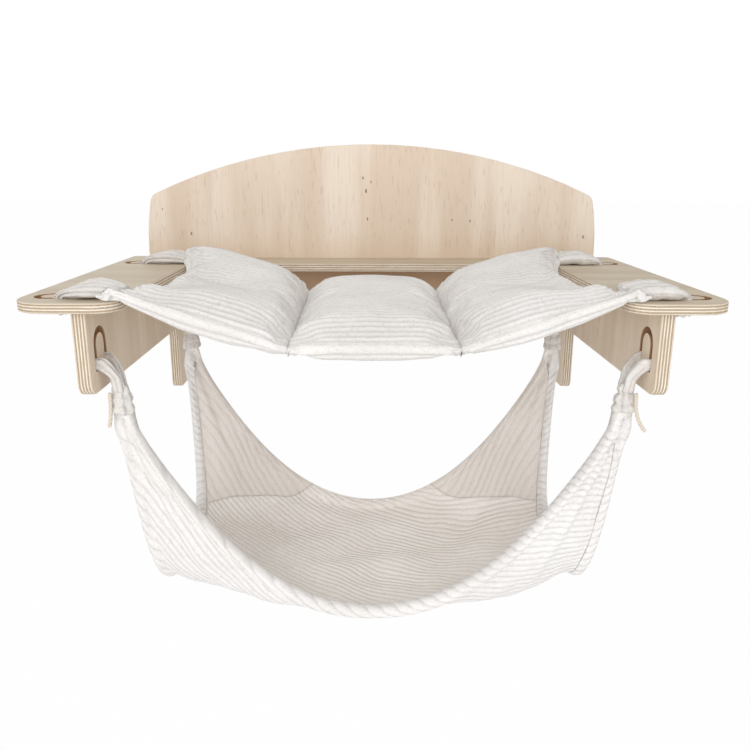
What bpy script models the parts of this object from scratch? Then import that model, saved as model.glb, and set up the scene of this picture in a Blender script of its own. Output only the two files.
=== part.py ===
"""Wall shelf for a cat: a birch plywood frame with a quilted pad slung in it and a hammock hung below.

The wall is the plane Y = 0, the room is towards -Y, and Z = 0 is the top of the shelf plate.
Everything is in metres.
"""

import math

import bmesh
import bpy
from mathutils import Matrix, Vector

# Play left between pieces that meet, and how far a cutter runs past the face that it opens.
GAP = 0.0003
OVERSHOOT = 0.002

# Shelf plate: a U of two arms and a rear ledge, open to the front.
SHELF_WIDTH = 0.610
SHELF_DEPTH = 0.360
SHELF_THICKNESS = 0.0092
ARM_WIDTH = 0.090
LEDGE_FRONT = 0.081
ARM_CORNER = 0.030
ARM_INNER_CORNER = 0.020
LEDGE_CORNER = 0.010
WALL_CORNER = 0.006
NOTCH_PLAY = 0.0005
NOTCH_CORNER = 0.002

# Back plate: arched top, gently bowed sides, flat foot below the shelf.
PLATE_THICKNESS = 0.018
PLATE_INSET = 0.0245
PLATE_WIDTH = SHELF_WIDTH - 2 * PLATE_INSET
PLATE_TOP = 0.1376
PLATE_WIDEST_Z = 0.010
PLATE_TOP_RADIUS = 0.640
PLATE_SIDE_RADIUS = 0.300
PLATE_TOP_CORNER = 0.013
PLATE_FOOT_CORNER = 0.008

# Brackets under the arms: a rail with a foot at the wall.
BRACKET_THICKNESS = 0.012
BRACKET_INSET = 0.0565
BRACKET_X = SHELF_WIDTH / 2 - BRACKET_INSET
BRACKET_FRONT_INSET = 0.008
BRACKET_FRONT = SHELF_DEPTH - BRACKET_FRONT_INSET
RAIL_BOTTOM = 0.0835
FOOT_BOTTOM = 0.161
FOOT_DEPTH = 0.049
RAIL_CORNER = 0.012
FOOT_CORNER = 0.008
FOOT_INNER_CORNER = 0.005

# Horseshoe slots: the loops are slipped over the tongues that they leave.
SLOT_SPACING = 0.0245
SLOT_GROOVE = 0.006
SLOT_FRONT_INSET = 0.037
SLOT_FRONT_Y = SHELF_DEPTH - SLOT_FRONT_INSET
SLOT_REAR_Y = 0.070
ARM_SLOT_INSET = 0.010
ARM_SLOT_LENGTH = 0.034
BRACKET_SLOT_DROP = 0.0165
BRACKET_SLOT_TOP = SHELF_THICKNESS + GAP + BRACKET_SLOT_DROP
BRACKET_SLOT_LENGTH = 0.039

# Small softening of the plywood's arrises.
ARRIS = 0.0008

# Dowels between shelf and brackets.
DOWEL_RADIUS = 0.003
DOWEL_LENGTH = 0.025
DOWEL_CHAMFER = 0.001
DOWEL_IN_SHELF = 0.0055
DOWEL_FROM_SLOTS = (0.043, 0.060)
DOWEL_YS = (SLOT_FRONT_Y - DOWEL_FROM_SLOTS[0], SLOT_REAR_Y + DOWEL_FROM_SLOTS[1])

# Screws from the back of the plate into the brackets and the ledge.
SCREW_RADIUS = 0.0021
SCREW_HEAD = 0.0042
SCREW_LENGTH = 0.050
SCREW_SINK = 0.0005
SCREW_ZS = (0.028, 0.066)
LEDGE_SCREW_RADIUS = 0.0016
LEDGE_SCREW_HEAD = 0.0032
LEDGE_SCREW_LENGTH = 0.042
LEDGE_SCREW_XS = (0.060, 0.190)
HEX_KEY = 0.0013
HEX_DEPTH = 0.0018

# Holes for the wall screws, low on the plate and out of sight behind the pad.
WALL_HOLE_RADIUS = 0.0028
WALL_HOLE_SINK = 0.0055
WALL_HOLE_Z = 0.054
WALL_HOLE_XS = (0.085, 0.200)

# Quilted pad: three stuffed panels with two stitched seams, its ends drawn in between the corners.
PAD_ON_ARM = 0.009
PAD_HALF_LENGTH = SHELF_WIDTH / 2 - ARM_WIDTH + PAD_ON_ARM
PAD_END_INSET = 0.030
PAD_END_REACH = 0.090
PAD_FRONT_INSET = 0.0005
PAD_FRONT = SHELF_DEPTH - PAD_FRONT_INSET
PAD_LEDGE_CLEARANCE = 0.0035
PAD_REAR = LEDGE_FRONT + PAD_LEDGE_CLEARANCE
PAD_PAST_SLOT = 0.00925
PAD_REAR_CORNER = SLOT_REAR_Y - SLOT_SPACING / 2 + PAD_PAST_SLOT
PAD_CORNER_REACH = 0.020
PAD_SAG = 0.0520
PAD_SAG_POWER = 2.25
PAD_REAR_LIFT = 0.007
PAD_SIDE_PANEL = 0.1505
PAD_SEAM_X = PAD_HALF_LENGTH - PAD_SIDE_PANEL
PAD_SEAM_PINCH = 0.0045
PAD_SEAM_SPREAD = 0.007
PAD_PANEL = 0.038
PAD_CENTRE_PANEL = 0.035
PAD_SEAM = 0.006
PAD_END = 0.013
PAD_CROWN = 0.16
PAD_ARM_CLEARANCE = 0.0015
PAD_STATIONS = (13, 12, 13)
PAD_RING = 26

# Pad loops: a puffy strand in each branch of an arm slot, joined under the tongue.
STRAND_HALF_WIDTH = 0.0108
STRAND_HALF_HEIGHT = 0.0058
STRAND_SLOT_CLEARANCE = 0.0006
STRAND_IN_SLOT = SLOT_GROOVE / 2 - STRAND_SLOT_CLEARANCE
STRAND_SLOT_WIDTH = 0.0058
STRAND_PLAY = 0.0012

# Hammock sheet and the gathered necks that hold its corners.
HAMMOCK_FRONT_IN = 0.0150
HAMMOCK_REAR_IN = 0.0205
HAMMOCK_SIDE_IN = 0.0285
HAMMOCK_FRONT_CORNER_X = BRACKET_X - BRACKET_THICKNESS / 2 - HAMMOCK_FRONT_IN
HAMMOCK_REAR_CORNER_X = BRACKET_X - BRACKET_THICKNESS / 2 - HAMMOCK_REAR_IN
HAMMOCK_SIDE_X = BRACKET_X - BRACKET_THICKNESS / 2 - HAMMOCK_SIDE_IN
HAMMOCK_DRAW = 0.001
HAMMOCK_FRONT_Y = SLOT_FRONT_Y - HAMMOCK_DRAW
HAMMOCK_REAR_Y = SLOT_REAR_Y + HAMMOCK_DRAW
HAMMOCK_FRONT_LOW = 0.3225
HAMMOCK_REAR_LOW = 0.314
HAMMOCK_LIP = 0.011
HAMMOCK_BELLY = 0.006
HAMMOCK_SIDE_RISE = 0.022
HAMMOCK_WALL_POWER = 6.5
HAMMOCK_RIM_PARABOLA = 0.85
HAMMOCK_RIM_BOW = 0.006
HAMMOCK_CORNER_GAP = 0.0010
HAMMOCK_FOLD = 0.0035
HAMMOCK_FOLDS = 1
HAMMOCK_FOLD_REACH = 0.090
HAMMOCK_SHEET = 0.0055
HAMMOCK_HEM = 0.0160
HAMMOCK_COLUMNS = 34
HAMMOCK_ROWS = 16
NECK_RADIUS = 0.0098
NECK_DROP = 0.0140
NECK_TOP = BRACKET_SLOT_TOP + BRACKET_SLOT_LENGTH + NECK_DROP
NECK_LENGTH = 0.0200
NECK_RUCHE = 0.12
NECK_RINGS = 6

# Tail ends of the drawcords, one at each front neck.
TAIL_RADIUS = 0.0017
TAIL_BESIDE = 0.007
TAIL_X = HAMMOCK_FRONT_CORNER_X + TAIL_BESIDE
TAIL_DROP = 0.006
TAIL_TOP = NECK_TOP + TAIL_DROP
TAIL_CURVE = 2.8
TAIL_LEFT_LENGTH = 0.032
TAIL_LEFT_DRIFT = 0.003
TAIL_RIGHT_LENGTH = 0.036
TAIL_RIGHT_DRIFT = 0.011

LEFT, RIGHT = -1, 1


def clear_scene():
    for found in list(bpy.data.objects):
        bpy.data.objects.remove(found, do_unlink=True)


def material(name, colour, roughness, metallic=0.0):
    made = bpy.data.materials.new(name)
    made.use_nodes = True
    shader = made.node_tree.nodes["Principled BSDF"]
    shader.inputs["Base Color"].default_value = (*colour, 1.0)
    shader.inputs["Roughness"].default_value = roughness
    shader.inputs["Metallic"].default_value = metallic
    return made


def add_object(name, bm, look, smooth=None, origin=(0, 0, 0)):
    """Makes one object of a bmesh, with its faces turned outwards; smooth is the sharpest shaded angle."""
    bmesh.ops.recalc_face_normals(bm, faces=bm.faces)
    bmesh.ops.translate(bm, verts=bm.verts, vec=-Vector(origin))
    mesh = bpy.data.meshes.new(name)
    bm.to_mesh(mesh)
    bm.free()
    if smooth:
        mesh.shade_smooth()
        mesh.set_sharp_from_angle(angle=math.radians(smooth))
    made = bpy.data.objects.new(name, mesh)
    made.location = origin
    bpy.context.collection.objects.link(made)
    if look:
        made.data.materials.append(look)
    return made


def rounded_outline(corners, steps=5):
    """Closed outline through corners (a, b, radius), each rounded by its own radius."""
    points = []
    for i, (a, b, radius) in enumerate(corners):
        here = Vector((a, b))
        if radius <= 0:
            points.append(here)
            continue
        back = (Vector(corners[i - 1][:2]) - here).normalized()
        onward = (Vector(corners[(i + 1) % len(corners)][:2]) - here).normalized()
        half = back.angle(onward) / 2
        centre = here + (back + onward).normalized() * (radius / math.sin(half))
        start = here + back * (radius / math.tan(half)) - centre
        end = here + onward * (radius / math.tan(half)) - centre
        turn = start.angle_signed(end)
        for k in range(steps + 1):
            points.append(centre + Matrix.Rotation(-turn * k / steps, 2) @ start)
    return points


def prism(name, outline, low, high, place, look):
    """Extrudes an outline from low to high; place turns (a, b, height) into a point."""
    bm = bmesh.new()
    bottom = [bm.verts.new(place(a, b, low)) for a, b in outline]
    top = [bm.verts.new(place(a, b, high)) for a, b in outline]
    bm.faces.new(bottom)
    bm.faces.new(top)
    for i in range(len(outline)):
        j = (i + 1) % len(outline)
        bm.faces.new((bottom[i], bottom[j], top[j], top[i]))
    return add_object(name, bm, look)


def loft(name, rings, look, smooth=60, paired=False):
    """Skins closed rings of equal count and caps both ends, paired ones with strips across the ring."""
    bm = bmesh.new()
    rows = [[bm.verts.new(point) for point in ring] for ring in rings]
    for first, second in zip(rows, rows[1:]):
        for i in range(len(first)):
            j = (i + 1) % len(first)
            bm.faces.new((first[i], first[j], second[j], second[i]))
    for row in (rows[0], rows[-1]):
        if not paired:
            bm.faces.new(row)
            continue
        for i in range(len(row) // 2 - 1):
            bm.faces.new((row[i], row[i + 1], row[-2 - i], row[-1 - i]))
    return add_object(name, bm, look, smooth)


def turned(name, profile, start, along, look, sides=12):
    """Turns a profile of (radius, distance) about the line from start in the direction along."""
    along = Vector(along).normalized()
    across = along.orthogonal().normalized()
    other = along.cross(across)
    rings = []
    for radius, distance in profile:
        ring = []
        for k in range(sides):
            angle = 2 * math.pi * k / sides
            offset = across * math.cos(angle) + other * math.sin(angle)
            ring.append(Vector(start) + along * distance + offset * radius)
        rings.append(ring)
    return loft(name, rings, look, 40)


def cut(target, cutter, operation="DIFFERENCE"):
    """Cuts target with a hidden helper, or joins the helper to it."""
    cutter.hide_render = True
    cutter.display_type = "WIRE"
    change = target.modifiers.new(cutter.name, "BOOLEAN")
    change.operation = operation
    change.solver = "EXACT"
    change.object = cutter


def soften(target, width=ARRIS):
    """Takes the sharp arrises off a board before anything is cut in it."""
    change = target.modifiers.new("arris", "BEVEL")
    change.width = width
    change.segments = 1
    change.limit_method = "ANGLE"
    change.angle_limit = math.radians(50)
    change.use_clamp_overlap = True


def horseshoe(length, steps=9):
    """U-shaped groove outline: closed end at 0, branches running to length along the first axis."""
    outer = (SLOT_SPACING + SLOT_GROOVE) / 2
    inner = (SLOT_SPACING - SLOT_GROOVE) / 2
    middle = SLOT_SPACING / 2
    end = SLOT_GROOVE / 2
    points = []
    for k in range(steps + 1):
        angle = math.pi * k / steps
        points.append((outer - outer * math.sin(angle), outer * math.cos(angle)))
    for k in range(5):
        angle = math.pi * k / 4
        points.append((length - end + end * math.sin(angle), -middle - end * math.cos(angle)))
    for k in range(steps + 1):
        angle = math.pi * k / steps
        points.append((outer - inner * math.sin(angle), -inner * math.cos(angle)))
    for k in range(5):
        angle = math.pi * k / 4
        points.append((length - end + end * math.sin(angle), middle - end * math.cos(angle)))
    return points


def flat(a, b, height):
    return (a, b, height)


def upright(a, b, height):
    """Boards that stand along the wall: outline in X and Z, thickness along Y."""
    return (a, height, b)


def sideways(a, b, height):
    """Boards that stand across the wall: outline in Y and Z, thickness along X."""
    return (height, a, b)


def make_shelf(look):
    half = SHELF_WIDTH / 2
    inner = half - ARM_WIDTH
    notch = PLATE_WIDTH / 2 + NOTCH_PLAY
    step = -PLATE_THICKNESS - GAP
    corners = [
        (half, -SHELF_DEPTH, ARM_CORNER),
        (half, 0, WALL_CORNER),
        (notch, 0, NOTCH_CORNER),
        (notch, step, 0),
        (-notch, step, 0),
        (-notch, 0, NOTCH_CORNER),
        (-half, 0, WALL_CORNER),
        (-half, -SHELF_DEPTH, ARM_CORNER),
        (-inner, -SHELF_DEPTH, ARM_INNER_CORNER),
        (-inner, -LEDGE_FRONT, LEDGE_CORNER),
        (inner, -LEDGE_FRONT, LEDGE_CORNER),
        (inner, -SHELF_DEPTH, ARM_INNER_CORNER),
    ]
    shelf = prism("shelf_plate", rounded_outline(corners), -SHELF_THICKNESS, 0, flat, look)
    soften(shelf)
    for side, side_name in ((LEFT, "left"), (RIGHT, "right")):
        for centre, end_name in ((SLOT_FRONT_Y, "front"), (SLOT_REAR_Y, "rear")):
            tip = half - ARM_SLOT_INSET
            outline = [(side * (tip - a), b - centre) for a, b in horseshoe(ARM_SLOT_LENGTH)]
            name = f"cut_arm_slot_{end_name}_{side_name}"
            cut(shelf, prism(name, outline, -SHELF_THICKNESS - OVERSHOOT, OVERSHOOT, flat, None))
        for i, y in enumerate(DOWEL_YS):
            start = (side * BRACKET_X, -y, -SHELF_THICKNESS - OVERSHOOT)
            profile = bore(DOWEL_RADIUS, DOWEL_IN_SHELF + GAP + OVERSHOOT)
            cut(shelf, turned(f"cut_dowel_{side_name}_{i}", profile, start, (0, 0, 1), None))
        for i, x in enumerate(LEDGE_SCREW_XS):
            start = (side * x, step + OVERSHOOT, -SHELF_THICKNESS / 2)
            depth = LEDGE_SCREW_LENGTH - PLATE_THICKNESS + 2 * OVERSHOOT
            profile = bore(LEDGE_SCREW_RADIUS, depth)
            cut(shelf, turned(f"cut_ledge_screw_{side_name}_{i}", profile, start, (0, -1, 0), None))
    return shelf


def bore(radius, depth):
    """Profile of a straight hole for a pin of this radius."""
    return [(radius + GAP, 0), (radius + GAP, depth)]


def make_back_plate(look):
    """The arch: bowed sides rising from the foot, met by the flatter top arc in a rounded corner."""
    half = PLATE_WIDTH / 2

    def side_x(z):
        return half - (z - PLATE_WIDEST_Z) ** 2 / (2 * PLATE_SIDE_RADIUS)

    def top_z(x):
        return PLATE_TOP - PLATE_TOP_RADIUS + math.sqrt(PLATE_TOP_RADIUS**2 - x**2)

    meet = half
    for _ in range(40):
        meet = side_x(top_z(meet))
    foot = -RAIL_BOTTOM
    right = [(side_x(foot), foot, PLATE_FOOT_CORNER)]
    for k in range(1, 7):
        z = foot + (top_z(meet) - foot) * k / 7
        right.append((side_x(z), z, 0))
    right.append((meet, top_z(meet), PLATE_TOP_CORNER))
    for k in range(1, 13):
        x = (meet - 0.012) * (1 - k / 12)
        right.append((x, top_z(x), 0))
    corners = right + [(-x, z, radius) for x, z, radius in reversed(right[:-1])]
    outline = rounded_outline(corners)
    plate = prism("back_plate", outline, -PLATE_THICKNESS, 0, upright, look)
    soften(plate)
    for side, side_name in ((LEFT, "left"), (RIGHT, "right")):
        for i, z in enumerate(SCREW_ZS):
            profile = screw_hole(SCREW_RADIUS, SCREW_HEAD)
            start = (side * BRACKET_X, 0, -z)
            cut(plate, turned(f"cut_plate_screw_{side_name}_{i}", profile, start, (0, -1, 0), None))
        for i, x in enumerate(LEDGE_SCREW_XS):
            profile = screw_hole(LEDGE_SCREW_RADIUS, LEDGE_SCREW_HEAD)
            start = (side * x, 0, -SHELF_THICKNESS / 2)
            cut(plate, turned(f"cut_plate_ledge_{side_name}_{i}", profile, start, (0, -1, 0), None))
        for i, x in enumerate(WALL_HOLE_XS):
            start = (side * x, -PLATE_THICKNESS - OVERSHOOT, -WALL_HOLE_Z)
            profile = [
                (WALL_HOLE_SINK + OVERSHOOT, 0),
                (WALL_HOLE_RADIUS, OVERSHOOT + WALL_HOLE_SINK - WALL_HOLE_RADIUS),
                (WALL_HOLE_RADIUS, PLATE_THICKNESS + 2 * OVERSHOOT),
            ]
            cut(plate, turned(f"cut_wall_hole_{side_name}_{i}", profile, start, (0, 1, 0), None))
    return plate


def screw_hole(radius, head):
    """Profile of a countersunk through hole, from the wall face of the plate forwards."""
    wide = head + GAP
    narrow = radius + GAP
    sink = SCREW_SINK + wide - narrow
    return [
        (wide, -OVERSHOOT),
        (wide, SCREW_SINK),
        (narrow, sink),
        (narrow, PLATE_THICKNESS + OVERSHOOT),
    ]


def make_screw(name, x, z, radius, head, length, look):
    """Countersunk screw with a hexagon socket, its head just below the wall face of the plate."""
    profile = [
        (head, SCREW_SINK),
        (radius, SCREW_SINK + head - radius),
        (radius, length - 2.2 * radius),
        (0.2 * radius, length),
    ]
    screw = turned(name, profile, (x, 0, z), (0, -1, 0), look)
    socket = [(HEX_KEY, -OVERSHOOT), (HEX_KEY, SCREW_SINK + HEX_DEPTH)]
    cut(screw, turned("cut_socket_" + name, socket, (x, 0, z), (0, -1, 0), None, 6))
    return screw


def make_bracket(side, side_name, look):
    top = -SHELF_THICKNESS - GAP
    against = -PLATE_THICKNESS - GAP
    corners = [
        (-BRACKET_FRONT, top, ARRIS),
        (-BRACKET_FRONT, -RAIL_BOTTOM, RAIL_CORNER),
        (-FOOT_DEPTH, -RAIL_BOTTOM, FOOT_INNER_CORNER),
        (-FOOT_DEPTH, -FOOT_BOTTOM, FOOT_CORNER),
        (0, -FOOT_BOTTOM, FOOT_CORNER),
        (0, -RAIL_BOTTOM - GAP, ARRIS),
        (against, -RAIL_BOTTOM - GAP, 0),
        (against, top, ARRIS),
    ]
    near = side * BRACKET_X - BRACKET_THICKNESS / 2
    far = side * BRACKET_X + BRACKET_THICKNESS / 2
    bracket = prism(f"bracket_{side_name}", rounded_outline(corners), near, far, sideways, look)
    soften(bracket)
    for centre, end_name in ((SLOT_FRONT_Y, "front"), (SLOT_REAR_Y, "rear")):
        outline = [(b - centre, -BRACKET_SLOT_TOP - a) for a, b in horseshoe(BRACKET_SLOT_LENGTH)]
        name = f"cut_bracket_slot_{end_name}_{side_name}"
        cut(bracket, prism(name, outline, near - OVERSHOOT, far + OVERSHOOT, sideways, None))
    for i, y in enumerate(DOWEL_YS):
        start = (side * BRACKET_X, -y, top + OVERSHOOT)
        depth = DOWEL_LENGTH - DOWEL_IN_SHELF + OVERSHOOT + GAP
        name = f"cut_bracket_dowel_{side_name}_{i}"
        cut(bracket, turned(name, bore(DOWEL_RADIUS, depth), start, (0, 0, -1), None))
    for i, z in enumerate(SCREW_ZS):
        start = (side * BRACKET_X, against + OVERSHOOT, -z)
        depth = SCREW_LENGTH - PLATE_THICKNESS + 2 * OVERSHOOT
        name = f"cut_bracket_screw_{side_name}_{i}"
        cut(bracket, turned(name, bore(SCREW_RADIUS, depth), start, (0, -1, 0), None))
    return bracket


def make_fixings(wood, steel):
    for side, side_name in ((LEFT, "left"), (RIGHT, "right")):
        for y, end_name in zip(DOWEL_YS, ("front", "rear")):
            profile = [
                (DOWEL_RADIUS - DOWEL_CHAMFER, 0),
                (DOWEL_RADIUS, DOWEL_CHAMFER),
                (DOWEL_RADIUS, DOWEL_LENGTH - DOWEL_CHAMFER),
                (DOWEL_RADIUS - DOWEL_CHAMFER, DOWEL_LENGTH),
            ]
            start = (side * BRACKET_X, -y, -SHELF_THICKNESS + DOWEL_IN_SHELF)
            turned(f"dowel_{end_name}_{side_name}", profile, start, (0, 0, -1), wood)
        for z, level in zip(SCREW_ZS, ("upper", "lower")):
            name = f"bracket_screw_{level}_{side_name}"
            sizes = (SCREW_RADIUS, SCREW_HEAD, SCREW_LENGTH)
            make_screw(name, side * BRACKET_X, -z, *sizes, steel)
        for x, place in zip(LEDGE_SCREW_XS, ("inner", "outer")):
            name = f"ledge_screw_{place}_{side_name}"
            sizes = (LEDGE_SCREW_RADIUS, LEDGE_SCREW_HEAD, LEDGE_SCREW_LENGTH)
            make_screw(name, side * x, -SHELF_THICKNESS / 2, *sizes, steel)


def smoothstep(value):
    value = min(max(value, 0.0), 1.0)
    return value * value * (3 - 2 * value)


def smooth_step_between(low, high, value):
    return smoothstep((value - low) / (high - low))


def pad_underside(x):
    """Height of the pad's lower edge: it hangs in a sag between the arms and lies flat on them."""
    rest = SHELF_WIDTH / 2 - ARM_WIDTH
    return min(-PAD_SAG + (PAD_SAG + GAP) * (abs(x) / rest) ** PAD_SAG_POWER, GAP)


def pad_height(x):
    """Stuffed height across the pad: full in each panel, pinched at the seams and at the ends."""
    if abs(x) < PAD_SEAM_X:
        across = abs(x) / PAD_SEAM_X
        full = PAD_CENTRE_PANEL
        edge = PAD_SEAM
    else:
        across = (abs(x) - PAD_SEAM_X) / (PAD_HALF_LENGTH - PAD_SEAM_X) * 2 - 1
        full = PAD_PANEL
        edge = PAD_SEAM if across < 0 else PAD_END
    swell = (1 - abs(across) ** 2.6) ** 0.5 if abs(across) < 1 else 0.0
    return edge + (full - edge) * swell


def pad_plan(x, v):
    """Plan position at station x and depth v, from -1 in front to 1 at the rear."""
    middle = (PAD_FRONT + PAD_REAR) / 2
    reach = (PAD_FRONT - PAD_REAR) / 2
    pinch = PAD_SEAM_PINCH * math.exp(-(((abs(x) - PAD_SEAM_X) / PAD_SEAM_SPREAD) ** 2))
    near_end = smooth_step_between(PAD_HALF_LENGTH - PAD_END_REACH, PAD_HALF_LENGTH, abs(x))
    corner = smooth_step_between(PAD_HALF_LENGTH - PAD_CORNER_REACH, PAD_HALF_LENGTH, abs(x))
    y = -middle + v * (reach - pinch)
    if v > 0:
        y += corner * (PAD_REAR - PAD_REAR_CORNER) * v**4
    inset = PAD_END_INSET * near_end * (1 - abs(v) ** 3)
    return x - math.copysign(inset, x), y


def pad_section(k):
    """Depth and height of point k around the pad, each from -1 to 1."""
    angle = 2 * math.pi * (k + 0.5) / PAD_RING
    c, s = math.cos(angle), math.sin(angle)
    return math.copysign(abs(c) ** 0.36, c), math.copysign(abs(s) ** 0.5, s)


def pad_end_x(low_y, high_y):
    """How far out the pad's end reaches between two depths, where a loop is sewn to it."""
    edge = [pad_plan(PAD_HALF_LENGTH, pad_section(k)[0]) for k in range(PAD_RING // 2)]
    reached = [x for x, y in edge if low_y <= y <= high_y]
    for (x, y), (next_x, next_y) in zip(edge, edge[1:]):
        for level in (low_y, high_y):
            if next_y < level < y:
                reached.append(x + (next_x - x) * (y - level) / (y - next_y))
    return max(reached)


def make_pad(look):
    """Closed rings around the pad's depth, from its left end to its right end."""
    stations = []
    bounds = (-PAD_HALF_LENGTH, -PAD_SEAM_X, PAD_SEAM_X, PAD_HALF_LENGTH)
    for low, high, count in zip(bounds, bounds[1:], PAD_STATIONS):
        for k in range(count):
            stations.append(low + (high - low) * (1 - math.cos(math.pi * k / count)) / 2)
    stations.append(PAD_HALF_LENGTH)
    arm = SHELF_WIDTH / 2 - ARM_WIDTH
    rings = []
    for x in stations:
        low = pad_underside(x)
        height = pad_height(x)
        slung = max(0.0, 1 - (x / arm) ** 4)
        ring = []
        for k in range(PAD_RING):
            v, w = pad_section(k)
            drawn, y = pad_plan(x, v)
            crown = 1 - PAD_CROWN * abs(v) ** 2.5 if w > 0 else 1.0
            z = low + height * (0.5 + 0.5 * w * crown)
            z += PAD_REAR_LIFT * slung * smoothstep((v + 1) / 2)
            on_arm = abs(drawn) > arm - PAD_ARM_CLEARANCE
            at_ledge = abs(drawn) > arm - LEDGE_CORNER - PAD_ARM_CLEARANCE
            if on_arm or (at_ledge and y > -LEDGE_FRONT - LEDGE_CORNER - PAD_ARM_CLEARANCE):
                z = max(z, GAP)
            ring.append((drawn, y, z))
        rings.append(ring)
    return loft("seat_pad", rings, look, 80, paired=True)


def strand_rings(keys, sides=8, steps=2):
    """Rings along a strap. Each key is its centre, its half-width vector and its half-thickness vector."""
    rings = []
    for i in range(len(keys) - 1):
        around = (keys[max(i - 1, 0)], keys[i], keys[i + 1], keys[min(i + 2, len(keys) - 1)])
        last = i == len(keys) - 2
        for k in range(steps + last):
            centre, wide, thick = (smooth_between(*four, k / steps) for four in zip(*around))
            ring = []
            for j in range(sides):
                angle = 2 * math.pi * j / sides
                ring.append(centre + wide * math.cos(angle) + thick * math.sin(angle))
            rings.append(ring)
    return rings


def smooth_between(a, b, c, d, t):
    """Point on the smooth curve that runs from b to c, with a before them and d after them."""
    a, b, c, d = Vector(a), Vector(b), Vector(c), Vector(d)
    bend = (2 * a - 5 * b + 4 * c - d) * t * t + (3 * b - a - 3 * c + d) * t**3
    return b + 0.5 * ((c - a) * t + bend)


def make_pad_loop(name, side, centre_y, look):
    """One loop: out along the arm, down one branch, under the tongue, up the other and back."""
    slot_end = SHELF_WIDTH / 2 - ARM_SLOT_INSET - ARM_SLOT_LENGTH
    down_x = side * (slot_end + STRAND_SLOT_WIDTH + STRAND_PLAY)
    rise = STRAND_HALF_HEIGHT + GAP
    under = -SHELF_THICKNESS - STRAND_IN_SLOT - STRAND_PLAY
    wide, tall = STRAND_HALF_WIDTH, STRAND_HALF_HEIGHT
    thin, broad = STRAND_IN_SLOT, STRAND_SLOT_WIDTH
    slant = math.sqrt(0.5)
    keys = [((down_x, -centre_y, under), (0, 0, -thin), (side * broad, 0, 0))]
    for sign in (-1, 1):
        y = -centre_y + sign * SLOT_SPACING / 2
        apart = y + sign * (wide + STRAND_PLAY - SLOT_SPACING / 2) if wide * 2 > SLOT_SPACING else y
        start_x = side * (pad_end_x(apart - wide, apart + wide) + GAP)
        across = (0, sign * wide, 0)
        leg = [
            ((start_x, apart, rise), across, (0, 0, tall)),
            ((start_x * 0.6 + down_x * 0.4, apart, rise), across, (0, 0, tall)),
            ((down_x - side * broad, y, rise), (0, sign * wide * 0.86, 0), (0, 0, tall * 0.9)),
            ((down_x, y, rise * 0.6), (0, sign * thin, 0), (side * broad * 0.7, 0, tall * 0.4)),
            ((down_x, y, -SHELF_THICKNESS * 0.35), (0, sign * thin, 0), (side * broad, 0, 0)),
            ((down_x, y, -SHELF_THICKNESS), (0, sign * thin, 0), (side * broad, 0, 0)),
            (
                (down_x, y - sign * thin * 0.9, under + thin * 0.2),
                (0, sign * thin * slant, -thin * slant),
                (side * broad, 0, 0),
            ),
        ]
        keys = leg + keys if sign < 0 else keys + leg[::-1]
    return loft(name, strand_rings(keys), look, 80)


def make_hammock_loop(name, side, corner_x, centre_y, look):
    """A loop round the bracket's tongue, and the gathered neck below it that holds the hammock."""
    inner = side * (BRACKET_X - BRACKET_THICKNESS / 2)
    outer = side * (BRACKET_X + BRACKET_THICKNESS / 2)
    slot_end = BRACKET_SLOT_TOP + BRACKET_SLOT_LENGTH
    z = -(slot_end - STRAND_SLOT_WIDTH - STRAND_PLAY)
    thin, broad = STRAND_IN_SLOT, STRAND_SLOT_WIDTH
    slant = math.sqrt(0.5)
    neck_x = side * corner_x
    round_x = outer + side * (thin + STRAND_PLAY)
    keys = [((round_x, -centre_y, z), (side * thin, 0, 0), (0, 0, broad))]
    for sign in (-1, 1):
        y = -centre_y + sign * SLOT_SPACING / 2
        merge = sign * NECK_RADIUS
        leg = [
            (
                (neck_x, -centre_y + merge * 0.42, -NECK_TOP - NECK_LENGTH * 0.3),
                (0, merge * 0.36, 0),
                (-side * NECK_RADIUS * 0.5, 0, 0),
            ),
            (
                (neck_x * 0.85 + inner * 0.15, -centre_y + merge * 0.7, -NECK_TOP * 0.6 + z * 0.4),
                (0, merge * 0.38, 0),
                (-side * NECK_RADIUS * 0.5, 0, thin * 0.6),
            ),
            (
                (inner - side * broad, y - merge * 0.2, z - thin),
                (side * thin * 0.6, sign * thin * 1.25, 0),
                (-side * thin * 0.9, 0, broad * 0.92),
            ),
            ((inner - side * STRAND_PLAY, y, z), (0, sign * thin, 0), (0, 0, broad)),
            ((outer + side * STRAND_PLAY, y, z), (0, sign * thin, 0), (0, 0, broad)),
            (
                (round_x - side * thin * 0.2, y - sign * thin * 0.9, z),
                (side * thin * slant, sign * thin * slant, 0),
                (0, 0, broad),
            ),
        ]
        keys = leg + keys if sign < 0 else keys + leg[::-1]
    loop = loft(name, strand_rings(keys), look, 80)
    profile = []
    for k in range(NECK_RINGS + 1):
        rise = k / NECK_RINGS
        ruche = 1 - NECK_RUCHE * (k % 2 == 0)
        profile.append((NECK_RADIUS * ruche * (1 - 0.38 * rise**2), NECK_LENGTH * rise))
    start = (neck_x, -centre_y, -NECK_TOP - NECK_LENGTH)
    cut(loop, turned("join_neck_" + name, profile, start, (0, 0, 1), None), "UNION")
    return loop


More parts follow.
